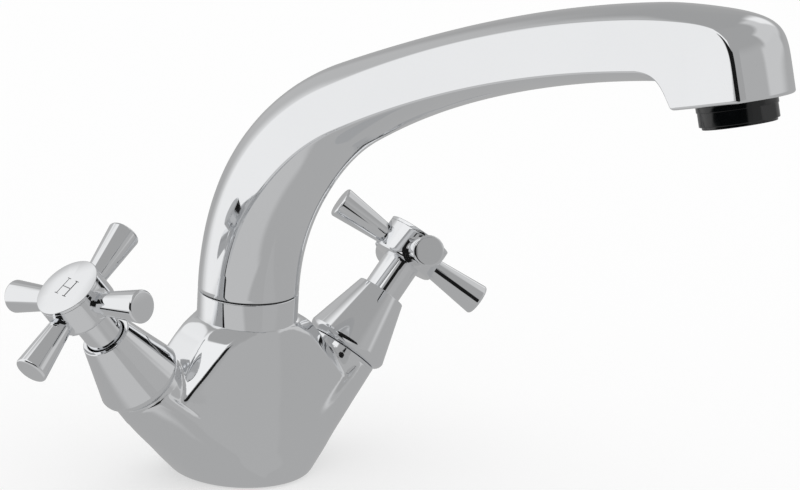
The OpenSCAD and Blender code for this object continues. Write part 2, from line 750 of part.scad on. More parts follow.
module aerator_housing() {
  color(black_plastic) at_outlet() difference() {
    union() {
      cylinder(r = aerator_thread_r, h = aerator_thread_h);
      translate([0, 0, -1.8]) cylinder(r = aerator_ring_r, h = 1.8);
      intersection() {
        translate([0, 0, -aerator_ring_h + lip_h])
          cylinder(r = aerator_ring_r - 0.25, h = aerator_ring_h - lip_h);
        translate([-aerator_ring_r, -flat_w / 2, -aerator_ring_h])
          cube([2 * aerator_ring_r, flat_w, aerator_ring_h]);
      }
      translate([0, 0, -aerator_ring_h]) cylinder(r = aerator_ring_r - 1, h = 2 * lip_h);
    }
    translate([0, 0, -aerator_ring_h - cut]) cylinder(r = insert_r + fit, h = aerator_ring_h + cut + 2);
    translate([0, 0, 1]) cylinder(r = insert_r - 1.5, h = aerator_thread_h);
  }
}

module aerator_insert() {
  hole_r = 0.75;
  pitch = 2.3;
  color(black_plastic) at_outlet() translate([0, 0, 1.9 - insert_h]) difference() {
    cylinder(r = insert_r, h = insert_h);
    for (row = [1 : 3], i = [0 : 6 * row - 1]) rotate([0, 0, i * 60 / row])
      translate([row * pitch, 0, -cut]) cylinder(r = hole_r, h = insert_h + 2 * cut, $fn = 16);
    translate([0, 0, -cut]) cylinder(r = hole_r, h = insert_h + 2 * cut, $fn = 16);
  }
}

module aerator_screen() {
  color(steel) at_outlet() translate([0, 0, aerator_thread_h])
    cylinder(r = aerator_thread_r - 0.3, h = screen_t);
}

module aerator_seal() {
  color(rubber) at_outlet()
    ring(aerator_thread_r - 0.1, aerator_thread_r - 3.4, aerator_seal_t, aerator_thread_h + screen_t);
}

body_casting();
base_seal();
slip_washer();
spout_grub_screw();
at_valve(HOT) valve_body();  // hot_valve_body
at_valve(HOT) valve_o_ring();  // hot_valve_o_ring
at_valve(HOT) fixed_disc();  // hot_fixed_disc
at_valve(HOT) seat_seal();  // hot_seat_seal
at_valve(HOT) shroud();  // hot_shroud
at_valve(HOT) spindle();  // hot_spindle
at_valve(HOT) spindle_o_rings();  // hot_spindle_o_rings
at_valve(HOT) spindle_clip();  // hot_spindle_clip
at_valve(HOT) moving_disc();  // hot_moving_disc
at_valve(HOT) handle(hot_cross_a);  // hot_handle
at_valve(HOT) handle_screw();  // hot_handle_screw
at_valve(HOT) index();  // hot_index
at_valve(COLD) valve_body();  // cold_valve_body
at_valve(COLD) valve_o_ring();  // cold_valve_o_ring
at_valve(COLD) fixed_disc();  // cold_fixed_disc
at_valve(COLD) seat_seal();  // cold_seat_seal
at_valve(COLD) shroud();  // cold_shroud
at_valve(COLD) spindle();  // cold_spindle
at_valve(COLD) spindle_o_rings();  // cold_spindle_o_rings
at_valve(COLD) spindle_clip();  // cold_spindle_clip
at_valve(COLD) moving_disc();  // cold_moving_disc
at_valve(COLD) handle(cold_cross_a);  // cold_handle
at_valve(COLD) handle_screw();  // cold_handle_screw
at_valve(COLD) index();  // cold_index
spout();
spout_spigot();
spigot_o_rings();
spigot_bearing();
aerator_housing();
aerator_insert();
aerator_screen();
aerator_seal();
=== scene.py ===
"""Looks of a two-handle kitchen sink mixer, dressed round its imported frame.

Sizes are in millimetres, as in the part's source, until a mesh is made. The hot side is -X,
the cold side +X, the user stands at -Y, and Z is up from the deck.
"""

import json
import math

import bmesh
import bpy
import numpy as np
from mathutils import Matrix, Vector


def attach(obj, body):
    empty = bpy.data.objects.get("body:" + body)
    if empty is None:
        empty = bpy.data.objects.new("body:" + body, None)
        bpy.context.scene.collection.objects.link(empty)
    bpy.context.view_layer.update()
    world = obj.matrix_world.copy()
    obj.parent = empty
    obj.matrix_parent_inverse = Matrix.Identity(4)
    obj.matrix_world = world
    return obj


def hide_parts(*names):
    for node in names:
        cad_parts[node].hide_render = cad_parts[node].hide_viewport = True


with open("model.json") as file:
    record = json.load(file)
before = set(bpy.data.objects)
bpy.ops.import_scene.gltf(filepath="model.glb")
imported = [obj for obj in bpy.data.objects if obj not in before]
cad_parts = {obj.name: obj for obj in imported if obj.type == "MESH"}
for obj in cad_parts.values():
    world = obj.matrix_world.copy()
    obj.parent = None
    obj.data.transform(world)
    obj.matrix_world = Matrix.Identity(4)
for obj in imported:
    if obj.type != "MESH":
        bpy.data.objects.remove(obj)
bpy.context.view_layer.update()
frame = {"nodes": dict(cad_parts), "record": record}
NODES = frame["nodes"]
MM = 0.001
HOT, COLD = -1, 1
SIDES = {"hot": HOT, "cold": COLD}
cos, sin, radians = math.cos, math.sin, math.radians

# Body casting
BASE_R, BASE_EDGE = 25.0, 2.2
SHOULDER_Z = 53.8
COLLAR_R, COLLAR_H = 17.0, 8.5
COLLAR_Z = SHOULDER_Z + COLLAR_H
SEAT_X, SEAT_Z, VALVE_TILT = 40.0, 35.5, 39.0
LOBE_R, BOSS_R = 12.8, 12.6
SEAT_LIP, LIP_TO, DECK_DEPTH = 0.8, 1.0, 9.5
DOME_X, DOME_Z, DOME_R, DOME_HALF_W, DOME_SPREAD = 10.0, 38.0, 16.7, 5.5, 0.5
DOME_ROWS, DOME_STEPS = 5, 14
RIDGE = ((16.0, 14.3, 48.9), (28.9, 11.6, 31.8))
EDGE_MID, COLLAR_SPREAD, COLLAR_TUCK, ARM_FROM = 0.3, 0.2, 0.3, 5.0
BOSS_SUNK, BOSS_FOOT, CAST_EDGE = 0.6, 14.0, 0.3
SKIN_STEP, FIELD_X, FIELD_Y, FIELD_LOW, FIELD_HIGH = 0.6, 60, 30, -4, 59
FOOT_SOFT, FLANK_SOFT, SKIN_SOFT = 0.45, 3.0, 0.6
FOOT_ZONE, FLANK_START, FLANK_END = (1.5, 7.5), (6.0, 12.0), (20.0, 31.0)
GRUB_R, GRUB_Z = 2.5, SHOULDER_Z + COLLAR_H / 2
INLET_X, INLET_Y, INLET_R, INLET_DEPTH = 8.0, 4.0, 4.5, 12.0
STUD_Y, STUD_R, STUD_DEPTH = 10.0, 3.4, 14.0
SEAL_MID_R, SEAL_W, SEAL_DEPTH = 20.0, 2.8, 2.0

# Spout
SPOUT_TURN, SPOUT_REACH = 9.0, 202.4
WASHER_T = 0.5
FOOT_Z = COLLAR_Z + WASHER_T
BEND_R, SWEEP_R = 78.2, 95.6
BEND_END, SWEEP_END, ARM_END = 57.3, 29.4, 12.3
ARM_HALF_W, ARM_H, HEAD_SIDE_H = 12.8, 13.1, 15.1
CROWN, CROWN_MORE, BELLY, SIDE_BULGE = 4.0, 1.2, 3.7, 0.5
FRONT_EDGE_A, REAR_EDGE_A = 18.6, 14.2
CROWN_BLEND, BELLY_BLEND, WIDTH_BLEND, SIDE_BLEND, BLEND_POWER = 91.0, 86.0, 80.0, 40.0, 2.35
OUTLET_TILT, HEAD_LEN, HEAD_BACK, HEAD_RISE = 17.1, 25.9, 24.7, 19.5
FRONT_H, BACK_H, BACK_LEAN = 7.6, 4.0, 1.5
FRONT_BULGE, BACK_BULGE, FLAT_BULGE, HEAD_EDGE, OUTLET_AHEAD = 4.1, 1.0, 0.05, 0.9, 1.2
SPIGOT_R, SPIGOT_BORE_R, SPIGOT_UP = 9.4, 6.2, 22.0
SPOUT_TRIM, CAST_CREASE = 0.9995, 40.0
AERATOR_THREAD_R, THREAD_GAP, SOCKET_H = 11.0, 0.05, 9.5
OUTLET_BORE_R, OUTLET_BORE_H = 6.0, 3.0
RING_R, RING_H, FLAT_W, INSERT_R, INSERT_H = 12.0, 6.8, 22.6, 9.5, 6.5

# Shrouds and cross handles
SHROUD_R, SHROUD_TOP_R, SHROUD_H, SHROUD_WALL, SHROUD_ROUND = 14.4, 8.6, 24.0, 1.1, 3.2
FLANGE_R = 11.2
HUB_Z, HUB_R, HUB_DOWN, HUB_UP, HUB_ROUND, HUB_EDGE = 41.1, 11.4, 4.9, 5.8, 1.2, 0.12
STEM_R, STEM_BOTTOM = 6.6, 20.7
ARM_LEN, ARM_ROOT_R, ARM_TIP_R, ARM_TIP_ROUND = 30.0, 3.5, 5.55, 0.9
SPOT_FACE_X, SPOT_FACE_R, SPOT_FACE_END = 10.4, 5.0, 14
INDEX_T, INDEX_EDGE, INDEX_GAP, PLUG_R, PLUG_H = 1.2, 0.22, 0.02, 8.0, 2.6
CROSS_A = {"hot": 17.6, "cold": 61.8}
LETTER_H, LETTER_W, THIN_STROKE, THICK_STROKE = 6.7, 4.5, 0.36, 0.52
SERIF_W, SERIF_T, SERIF_OUT, OPENING_A = 1.9, 0.3, 0.03, 42
LETTER_DEPTH, LETTER_TURN, STROKE_STEP = 0.16, radians(3.3), 0.004


# Finishes


class Wire:
    """An output of a node, on which sums, products and the like add Math nodes."""

    def __init__(self, net, socket):
        self.net = net
        self.socket = socket

    def _math(self, operation, *values):
        settings = {"operation": operation}
        return self.net.node("ShaderNodeMath", settings, dict(enumerate(values)))

    def __add__(self, other):
        return self._math("ADD", self, other)

    def __sub__(self, other):
        return self._math("SUBTRACT", self, other)

    def __rsub__(self, other):
        return self._math("SUBTRACT", other, self)

    def __mul__(self, other):
        return self._math("MULTIPLY", self, other)

    def smaller(self, other):
        return self._math("MINIMUM", self, other)

    def larger(self, other):
        return self._math("MAXIMUM", self, other)

    def between(self, low, high):
        """0 at low, 1 at high, eased between the two; low may be the larger."""
        settings = {"interpolation_type": "SMOOTHSTEP", "clamp": True}
        return self.net.node("ShaderNodeMapRange", settings, {0: self, 1: low, 2: high})


class Net:
    """The node tree of one finish, of the floor or of the world."""

    def __init__(self, tree):
        self.tree = tree
        tree.nodes.clear()

    def node(self, kind, settings=None, inputs=None, out=0):
        """Adds a node: its settings first, then the values or wires of its sockets."""
        made = self.tree.nodes.new(kind)
        for key, value in (settings or {}).items():
            setattr(made, key, value)
        for key, value in (inputs or {}).items():
            if isinstance(value, Wire):
                self.tree.links.new(value.socket, made.inputs[key])
            else:
                made.inputs[key].default_value = value
        return Wire(self, made.outputs[out]) if len(made.outputs) else None

    def mix(self, factor, first, second):
        """Colour between first and second."""
        settings = {"data_type": "RGBA", "clamp_factor": True}
        return self.node("ShaderNodeMix", settings, {0: factor, 6: first, 7: second}, out=2)

    def outputs_of(self, wire, *keys):
        """Other outputs of the node that a wire comes from."""
        return [Wire(self, wire.socket.node.outputs[key]) for key in keys]

    def place(self, stretch=(1, 1, 1)):
        """Object coordinates, in metres, stretched along the axes."""
        where = self.node("ShaderNodeTexCoord", out=3)
        return self.node("ShaderNodeMapping", {"vector_type": "POINT"}, {0: where, 3: stretch})

    def noise(self, scale, detail=2.0, stretch=(1, 1, 1), distortion=0.0):
        """Cloudy pattern from 0 to 1 with about scale waves in a metre."""
        inputs = {"Vector": self.place(stretch), "Scale": scale, "Detail": detail, "Distortion": distortion}
        return self.node("ShaderNodeTexNoise", {"noise_dimensions": "3D"}, inputs)

    def bump(self, height, depth):
        """Normal of a surface that is depth metres deep where height goes from 1 to 0."""
        return self.node("ShaderNodeBump", {}, {"Strength": 1.0, "Distance": depth, "Height": height})


FINISHES = {}


def finish(name, colour, metallic, roughness, normal, **constants):
    """Makes a finish; colour, roughness and normal are functions of its net."""
    material = bpy.data.materials.new(name)
    material.use_nodes = True
    net = Net(material.node_tree)
    inputs = {"Base Color": colour(net), "Metallic": metallic, "Roughness": roughness(net)}
    inputs["Normal"] = normal(net)
    for key, value in constants.items():
        inputs[key.replace("_", " ")] = value
    shader = net.node("ShaderNodeBsdfPrincipled", {}, inputs)
    net.node("ShaderNodeOutputMaterial", {}, {"Surface": shader})
    FINISHES[name] = material


def grey(tone, tint=(1.0, 1.0, 1.0)):
    return (tone * tint[0], tone * tint[1], tone * tint[2], 1)


COOL, INKY = (0.985, 0.995, 1.01), (0.7, 1.0, 1.2)
CLOUD_SCALE, CLOUD_DARK, CLOUD_PALE = 18, 0.975, 1.02
WIPE_SCALE, WIPE_STRETCH, WIPE_CURL, WIPE_SPAN, MIRROR_ROUGH = 60, (1, 1, 0.35), 0.6, (0.45, 0.8), 0.028
PITTING_SCALE, PITTING_SHARE = 900, 0.02


def chrome_finish(name, tone, haze, wave_scale, wave_depth):
    """Polished chrome plating: a faint cloud in its tone, wiping haze, and the metal's own waves."""

    def colour(net):
        cloud = net.noise(CLOUD_SCALE, 3)
        return net.mix(cloud, grey(tone * CLOUD_DARK, COOL), grey(tone * CLOUD_PALE, COOL))

    def roughness(net):
        wiped = net.noise(WIPE_SCALE, 4, WIPE_STRETCH, WIPE_CURL).between(*WIPE_SPAN)
        return wiped * haze + MIRROR_ROUGH

    def normal(net):
        broad = net.noise(wave_scale, 1.5)
        fine = net.noise(PITTING_SCALE, 2)
        return net.bump(broad + fine * PITTING_SHARE, wave_depth)

    finish(name, colour, 1.0, roughness, normal)


def moulded_finish(name, colour_low, colour_high, rough_low, rough_high, grain, depth, **constants):
    """Moulded or pressed material with a soft mottle, coarser patches of haze and a fine grain."""
    mottle_scale, haze_scale = grain / 6, grain / 3

    def colour(net):
        return net.mix(net.noise(mottle_scale, 3), colour_low, colour_high)

    def roughness(net):
        return net.noise(haze_scale, 3) * (rough_high - rough_low) + rough_low

    def normal(net):
        return net.bump(net.noise(grain, 3), depth)

    finish(name, colour, constants.pop("metallic", 0.0), roughness, normal, **constants)


chrome_finish("body chrome", 0.9, 0.05, 45, 0.00004)
chrome_finish("spout chrome", 0.9, 0.05, 30, 0.00005)
chrome_finish("shroud chrome", 0.9, 0.04, 90, 0.00001)
chrome_finish("handle chrome", 0.9, 0.04, 120, 0.000012)
chrome_finish("index chrome", 0.92, 0.05, 150, 0.000008)
moulded_finish("engraving", grey(0.3, COOL), grey(0.4, COOL), 0.35, 0.5, 4000, 0.00001, metallic=1.0)
moulded_finish("aerator black", grey(0.0015, INKY), grey(0.003, INKY), 0.1, 0.18, 2500, 0.000003,
               Specular_IOR_Level=0.62)
moulded_finish("black nylon", grey(0.02), grey(0.035), 0.35, 0.5, 3000, 0.00001)
moulded_finish("white nylon", (0.8, 0.78, 0.72, 1), (0.86, 0.84, 0.79, 1), 0.35, 0.5, 2500, 0.00001)
moulded_finish("rubber", grey(0.02), grey(0.035), 0.6, 0.8, 3500, 0.00002)
moulded_finish("brass", (0.72, 0.5, 0.2, 1), (0.82, 0.62, 0.3, 1), 0.18, 0.34, 1800, 0.000006, metallic=1.0)
moulded_finish("ceramic", (0.84, 0.82, 0.78, 1), (0.9, 0.89, 0.86, 1), 0.1, 0.2, 2500, 0.000002)
moulded_finish("steel", grey(0.5), grey(0.62), 0.2, 0.36, 2200, 0.000005, metallic=1.0)

SLOT_FINISH = {"trim_chrome": "shroud chrome"}


def finish_of(slot):
    return FINISHES[SLOT_FINISH.get(slot, slot.replace("_", " "))]


# Meshes


def mesh_of(points, faces, place=None, weld=1e-5):
    """Object of these points, in millimetres, put where place says, with its faces outwards."""
    mesh = bpy.data.meshes.new("part")
    mesh.from_pydata([tuple(p) for p in points], [], faces)
    shape = bmesh.new()
    shape.from_mesh(mesh)
    bmesh.ops.remove_doubles(shape, verts=shape.verts, dist=weld)
    bmesh.ops.recalc_face_normals(shape, faces=shape.faces)
    shape.to_mesh(mesh)
    shape.free()
    if place is not None:
        mesh.transform(place)
    made = bpy.data.objects.new("part", mesh)
    bpy.context.scene.collection.objects.link(made)
    return made


def rounded(corners, steps=6):
    """Outline through corners (x, y, rounding), with an arc at each that has a rounding."""
    points = []
    for i, (x, y, radius) in enumerate(corners):
        here = Vector((x, y))
        if not radius:
            points.append(here)
            continue
        back = (Vector(corners[i - 1][:2]) - here).normalized()
        ahead = (Vector(corners[(i + 1) % len(corners)][:2]) - here).normalized()
        half = back.angle(ahead) / 2
        middle = here + (back + ahead).normalized() * (radius / sin(half))
        start = here + back * (radius / math.tan(half)) - middle
        turn = (math.pi - 2 * half) * (1 if back.x * ahead.y - back.y * ahead.x < 0 else -1)
        for k in range(steps + 1):
            a = turn * k / steps
            points.append(middle + Vector((start.x * cos(a) - start.y * sin(a),
                                           start.x * sin(a) + start.y * cos(a))))
    return points


def turned(outline, place=None, segments=160, on_axis=1e-6):
    """Solid of a closed outline of (radius, height) turned about Z."""
    rings, points = [], []
    for r, z in outline:
        if r < on_axis:
            rings.append([len(points)])
            points.append((0, 0, z))
            continue
        rings.append(list(range(len(points), len(points) + segments)))
        points += [(r * cos(2 * math.pi * k / segments), r * sin(2 * math.pi * k / segments), z)
                   for k in range(segments)]
    faces = []
    for low, high in zip(rings, rings[1:] + rings[:1]):
        if len(low) == 1 and len(high) == 1:
            continue
        for k in range(segments):
            n = (k + 1) % segments
            if len(low) == 1:
                faces.append((low[0], high[n], high[k]))
            elif len(high) == 1:
                faces.append((low[k], low[n], high[0]))
            else:
                faces.append((low[k], low[n], high[n], high[k]))
    return mesh_of(points, faces, place)


def rows(a, b, step):
    """Points from a to b, without b, at most step apart."""
    a, b = Vector(a), Vector(b)
    n = max(1, math.ceil((b - a).length / step))
    return [a.lerp(b, i / n) for i in range(n)]


def joined(*objects):
    """One object of several, which are used up."""
    shape = bmesh.new()
    for o in objects:
        shape.from_mesh(o.data)
    kept = objects[0]
    shape.to_mesh(kept.data)
    shape.free()
    for o in objects[1:]:
        bpy.data.objects.remove(o)
    return kept


def worked(base, tool, operation):
    """base after a cut by, or an intersection with, tool, which is used up."""
    modifier = base.modifiers.new("work", "BOOLEAN")
    modifier.operation, modifier.object, modifier.solver = operation, tool, "EXACT"
    depsgraph = bpy.context.evaluated_depsgraph_get()
    mesh = bpy.data.meshes.new_from_object(base.evaluated_get(depsgraph))
    base.modifiers.clear()
    base.data = mesh
    bpy.data.objects.remove(tool)
    return base


def dress(piece, name, slot, body, replaces, crease=32.0, painted=False):
    """Names a piece, scales it to metres, shades it with creases, hides the nodes it replaces and hangs it
    under its body's empty.

    It gets its slot's finish, unless it is painted already.
    """
    piece.name = name
    piece.data.name = name
    piece.data.transform(Matrix.Scale(MM, 4))
    piece.data.shade_smooth()
    piece.data.set_sharp_from_angle(angle=radians(crease))
    if not painted:
        piece.data.materials.clear()
        piece.data.materials.append(finish_of(slot))
    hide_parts(*replaces)
    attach(piece, body)


def at_valve(side):
    """Frame of a valve: origin at its seat's centre, Z out along its axis."""
    seat = Matrix.Translation((side * SEAT_X, 0, SEAT_Z))
    return seat @ Matrix.Rotation(side * radians(VALVE_TILT), 4, "Y")


# Spout: a loft along three arcs, then the outlet head


def ease(x):
    t = min(1.0, max(0.0, x))
    return t * t * (3 - 2 * t)


def arc_from(p, r, a0, a1):
    a0, a1 = radians(a0), radians(a1)
    return p + r * np.array([sin(a0) - sin(a1), cos(a1) - cos(a0)])


def fade(run, over):
    """Share of the round foot that is left after a run along the route, when it fades over a distance."""
    return math.exp(-((run / over) ** BLEND_POWER))


def direction(a):
    return np.array([cos(radians(a)), sin(radians(a))])


def crossways(a):
    return np.array([-sin(radians(a)), cos(radians(a))])


FOOT_FRONT, FOOT_REAR = COLLAR_R * sin(radians(FRONT_EDGE_A)), COLLAR_R * sin(radians(REAR_EDGE_A))
FOOT_FRONT_W, FOOT_REAR_W = COLLAR_R * cos(radians(FRONT_EDGE_A)), COLLAR_R * cos(radians(REAR_EDGE_A))
FOOT_MID = np.array([(FOOT_FRONT - FOOT_REAR) / 2, FOOT_Z])
BEND_STOP = arc_from(FOOT_MID, BEND_R, 90, BEND_END)
SWEEP_STOP = arc_from(BEND_STOP, SWEEP_R, BEND_END, SWEEP_END)
OUTLET_T, OUTLET_U = direction(OUTLET_TILT), crossways(OUTLET_TILT)
ARM_STOP_S = SPOUT_REACH - (HEAD_BACK + OUTLET_AHEAD) * OUTLET_T[0] - HEAD_RISE * OUTLET_T[1]
ARM_R = (ARM_STOP_S - SWEEP_STOP[0]) / (sin(radians(SWEEP_END)) - sin(radians(ARM_END)))
ARM_STOP = arc_from(SWEEP_STOP, ARM_R, SWEEP_END, ARM_END)
BEND_L = BEND_R * radians(90 - BEND_END)
SWEEP_L = SWEEP_R * radians(BEND_END - SWEEP_END)
ROUTE_L = BEND_L + SWEEP_L + ARM_R * radians(SWEEP_END - ARM_END)
HEAD_MID = ARM_STOP + HEAD_BACK * OUTLET_T - HEAD_RISE * OUTLET_U
OUTLET_Z = HEAD_MID[1] + OUTLET_AHEAD * OUTLET_T[1]
TOP_REACH, TOP_PULL, UNDER_REACH, UNDER_PULL, BACK_HURRY = 36.9, 12.9, 6.5, 5.5, 1.4
AT_SPOUT = Matrix.Rotation(radians(SPOUT_TURN), 4, "Z")
AT_OUTLET = (AT_SPOUT @ Matrix.Translation((0, -SPOUT_REACH, OUTLET_Z))
             @ Matrix.Rotation(radians(-OUTLET_TILT), 4, "X"))


def in_head(t, u):
    return HEAD_MID + t * OUTLET_T + u * OUTLET_U


def bezier(p, v):
    w = 1 - v
    return w ** 3 * p[0] + 3 * w * w * v * p[1] + 3 * w * v * v * p[2] + v ** 3 * p[3]


def route_station(run):
    """Lower and upper edge, half widths there, and the bulge of underside, sides and top."""
    if run < BEND_L:
        a = 90 - math.degrees(run / BEND_R)
        p = arc_from(FOOT_MID, BEND_R, 90, a)
    elif run < BEND_L + SWEEP_L:
        a = BEND_END - math.degrees((run - BEND_L) / SWEEP_R)
        p = arc_from(BEND_STOP, SWEEP_R, BEND_END, a)
    else:
        a = SWEEP_END - math.degrees((run - BEND_L - SWEEP_L) / ARM_R)
        p = arc_from(SWEEP_STOP, ARM_R, SWEEP_END, a)
    share = run / ROUTE_L
    h = ARM_H + (HEAD_SIDE_H - ARM_H) * share + (FOOT_FRONT + FOOT_REAR - ARM_H) * fade(run, SIDE_BLEND)
    f = fade(run, WIDTH_BLEND)
    crown = CROWN + CROWN_MORE * (1 - share)
    chord = math.hypot(FOOT_FRONT + FOOT_REAR, FOOT_FRONT_W - FOOT_REAR_W)
    cap = COLLAR_R - math.sqrt(COLLAR_R ** 2 - chord ** 2 / 4)
    n = crossways(a)
    return (p - n * h / 2, p + n * h / 2, ARM_HALF_W + (FOOT_FRONT_W - ARM_HALF_W) * f,
            ARM_HALF_W + (FOOT_REAR_W - ARM_HALF_W) * f,
            BELLY + (COLLAR_R - FOOT_FRONT - BELLY) * fade(run, BELLY_BLEND),
            SIDE_BULGE + (cap - SIDE_BULGE) * f,
            crown + (COLLAR_R - FOOT_REAR - crown) * fade(run, CROWN_BLEND))


def head_station(v):
    front_top = in_head(HEAD_LEN / 2, FRONT_H)
    back_foot, back_top = in_head(-HEAD_LEN / 2, 0), in_head(-HEAD_LEN / 2 - BACK_LEAN, BACK_H)
    back = (back_top - back_foot) / np.linalg.norm(back_top - back_foot)
    along, up = direction(ARM_END), crossways(ARM_END) * HEAD_SIDE_H / 2
    top = (ARM_STOP + up, ARM_STOP + up + TOP_REACH * along, front_top + TOP_PULL * OUTLET_U, front_top)
    under = (ARM_STOP - up, ARM_STOP - up + UNDER_REACH * along, back_top + UNDER_PULL * back, back_top)
    return (bezier(under, v), bezier(top, v), ARM_HALF_W, ARM_HALF_W,
            BELLY + (BACK_BULGE - BELLY) * ease(v * BACK_HURRY),
            SIDE_BULGE * (1 - ease(v)) + FLAT_BULGE, CROWN + (FRONT_BULGE - CROWN) * ease(v))


def wall_station(a, lift=0.0):
    inward, u = HEAD_EDGE * (1 - cos(a)), HEAD_EDGE * (1 - sin(a)) + lift
    lean = BACK_LEAN * u / BACK_H
    return (in_head(inward - HEAD_LEN / 2 - lean, u), in_head(HEAD_LEN / 2 - inward, u),
            ARM_HALF_W - inward, ARM_HALF_W - inward, BACK_BULGE, FLAT_BULGE, FRONT_BULGE)


def section(station, soft, side_n=12, crown_n=30, corner_n=7):
    """Ring of a station as (across, forward, up), with soft corners soft millimetres wide each way."""
    low, high, low_w, high_w, belly, side, crown = station
    h = float(np.linalg.norm(high - low))
    up = (high - low) / h
    corners = [np.array(c) for c in ((-low_w, 0.0), (-high_w, h), (high_w, h), (low_w, 0.0))]
    ring = []
    ends = []
    for i, bulge in enumerate((side, crown, side, belly)):
        a, b = corners[i], corners[(i + 1) % 4]
        c = float(np.linalg.norm(b - a))
        r = (c * c / 4 + bulge * bulge) / (2 * bulge)
        half = math.asin(min(1.0, c / 2 / r))
        ahead = (b - a) / c
        left = np.array([-ahead[1], ahead[0]])
        middle = (a + b) / 2 + left * (bulge - r)
        trim = soft / r
        n = side_n if i % 2 == 0 else crown_n
        turn = [-half + trim + (2 * half - 2 * trim) * k / n for k in range(n + 1)]
        arc = [middle + r * (cos(t) * left + sin(t) * ahead) for t in turn]
        ends.append((arc[0], arc[-1]))
        ring.append(arc)
    flat = []
    for i in range(4):
        flat += ring[i]
        start, stop, corner = ends[i][1], ends[(i + 1) % 4][0], corners[(i + 1) % 4]
        for k in range(1, corner_n):
            t = k / corner_n
            flat.append((1 - t) ** 2 * start + 2 * t * (1 - t) * corner + t * t * stop)
    return [(q[0], -(low + up * q[1])[0], (low + up * q[1])[1]) for q in flat]


def loft(rings, place):
    """Closed solid of rings with the same number of points, capped at both ends."""
    n = len(rings[0])
    points = [p for ring in rings for p in ring]
    faces = [(k * n + i, k * n + (i + 1) % n, (k + 1) * n + (i + 1) % n, (k + 1) * n + i)
             for k in range(len(rings) - 1) for i in range(n)]
    faces += [tuple(range(n)), tuple(range(len(points) - 1, len(points) - n - 1, -1))]
    return mesh_of(points, faces, place)


def circle_like(ring, centre, radius, axes, lift=0.0):
    """Circle about centre with one point at the angle of each point of ring."""
    e, f, g = (np.array(a, float) for a in axes)
    out = []
    for p in ring:
        d = np.array(p, float) - centre
        a = math.atan2(d @ f, d @ e)
        out.append(tuple(centre + radius * (cos(a) * e + sin(a) * f) + lift * g))
    return out


def make_spout():
    foot_soft, crease_soft, guard = 0.3, 0.75, 0.25
    route_n, head_n, edge_n = 150, 90, 7
    rings = [section(route_station(ROUTE_L * i / route_n), crease_soft) for i in range(route_n)]
    rings += [section(head_station(i / head_n), crease_soft) for i in range(head_n + 1)]
    rings.append(section(wall_station(0.0, lift=guard), crease_soft))
    rings += [section(wall_station(math.pi / 2 * i / edge_n), crease_soft) for i in range(edge_n + 1)]
    upright = ((1, 0, 0), (0, 1, 0), (0, 0, 1))
    foot = np.array([0.0, 0.0, FOOT_Z])
    below = [circle_like(rings[0], foot, r, upright, lift) for r, lift in (
        (SPIGOT_BORE_R, SPIGOT_UP), (SPIGOT_R, SPIGOT_UP), (SPIGOT_R, 0.0), (COLLAR_R - foot_soft, 0.0),
        (COLLAR_R - EDGE_MID * foot_soft, EDGE_MID * foot_soft))]
    rings[0] = circle_like(rings[0], foot, COLLAR_R, upright, foot_soft)
    outlet = np.array([0.0, -SPOUT_REACH, OUTLET_Z])
    tilted = ((1, 0, 0), (0, -OUTLET_T[0], OUTLET_T[1]), (0, -OUTLET_U[0], OUTLET_U[1]))
    socket_r = AERATOR_THREAD_R + THREAD_GAP
    inside = [circle_like(rings[-1], outlet, r, tilted, lift) for r, lift in (
        (socket_r, 0.0), (socket_r, SOCKET_H), (OUTLET_BORE_R, SOCKET_H),
        (OUTLET_BORE_R, SOCKET_H + OUTLET_BORE_H))]
    to_foot, shrink = Matrix.Translation((0, 0, FOOT_Z)), Matrix.Diagonal((1, SPOUT_TRIM, SPOUT_TRIM, 1))
    piece = loft(below + rings + inside, AT_SPOUT @ (to_foot @ shrink @ to_foot.inverted()))
    dress(piece, "spout_casting", "spout_chrome", "swivel_spout", ["spout"], crease=CAST_CREASE)


# Aerator: a ring with spanner flats, and a flow straightener of small tubes


def make_aerator():
    inner_r, band_h, lip_h, gap, overlap = INSERT_R + 0.05, 1.8, 0.8, 0.02, 0.1
    sleeve_top, bore_r, bore_z = 7.5, 8.0, 2.0
    grip_r, lip_r, band_z, foot_z = RING_R - 0.25, RING_R - 1, -band_h, lip_h - RING_H
    band = turned(rounded([(inner_r, band_z, 0), (RING_R, band_z, 0.15), (RING_R, -gap, 0.1),
                           (AERATOR_THREAD_R, -gap, 0), (AERATOR_THREAD_R, sleeve_top, 0.4),
                           (bore_r, sleeve_top, 0), (bore_r, bore_z, 0), (inner_r, bore_z, 0)]), segments=192)
    grip = turned(rounded([(inner_r, foot_z, 0), (grip_r, foot_z, 0.25), (grip_r, band_z + overlap, 0),
                           (inner_r, band_z + overlap, 0)]), segments=192)
    across, along, tall = FLAT_W / 2, 2 * RING_R, 2 * RING_H
    flats = mesh_of([(x, y, z) for x in (-along, along) for y in (-across, across) for z in (-tall, tall)],
                    [(0, 1, 3, 2), (4, 6, 7, 5), (0, 4, 5, 1), (2, 3, 7, 6), (0, 2, 6, 4), (1, 5, 7, 3)])
    grip = worked(grip, flats, "INTERSECT")
    lip = turned(rounded([(inner_r, -RING_H, 0.15), (lip_r, -RING_H, 0.2), (lip_r, foot_z + overlap, 0),
                          (inner_r, foot_z + overlap, 0)]), segments=192)
    ring = joined(band, grip, lip)
    ring.data.transform(AT_OUTLET)
    dress(ring, "aerator_ring", "aerator_black", "swivel_spout", ["aerator_housing"])

    high, rim_wall = 1.9, 0.7
    low, rim_inner = high - INSERT_H, INSERT_R - rim_wall
    rim = turned(rounded([(rim_inner, low, 0.1), (INSERT_R, low, 0.2), (INSERT_R, high, 0),
                          (rim_inner, high, 0)]), segments=128)
    tubes = tube_field(INSERT_H, cell=1.9, radius=rim_inner - 0.05)
    tubes.data.transform(Matrix.Translation((0, 0, low)))
    insert = joined(rim, tubes)
    insert.data.transform(AT_OUTLET)
    dress(insert, "flow_straightener", "aerator_black", "swivel_spout", ["aerator_insert"])


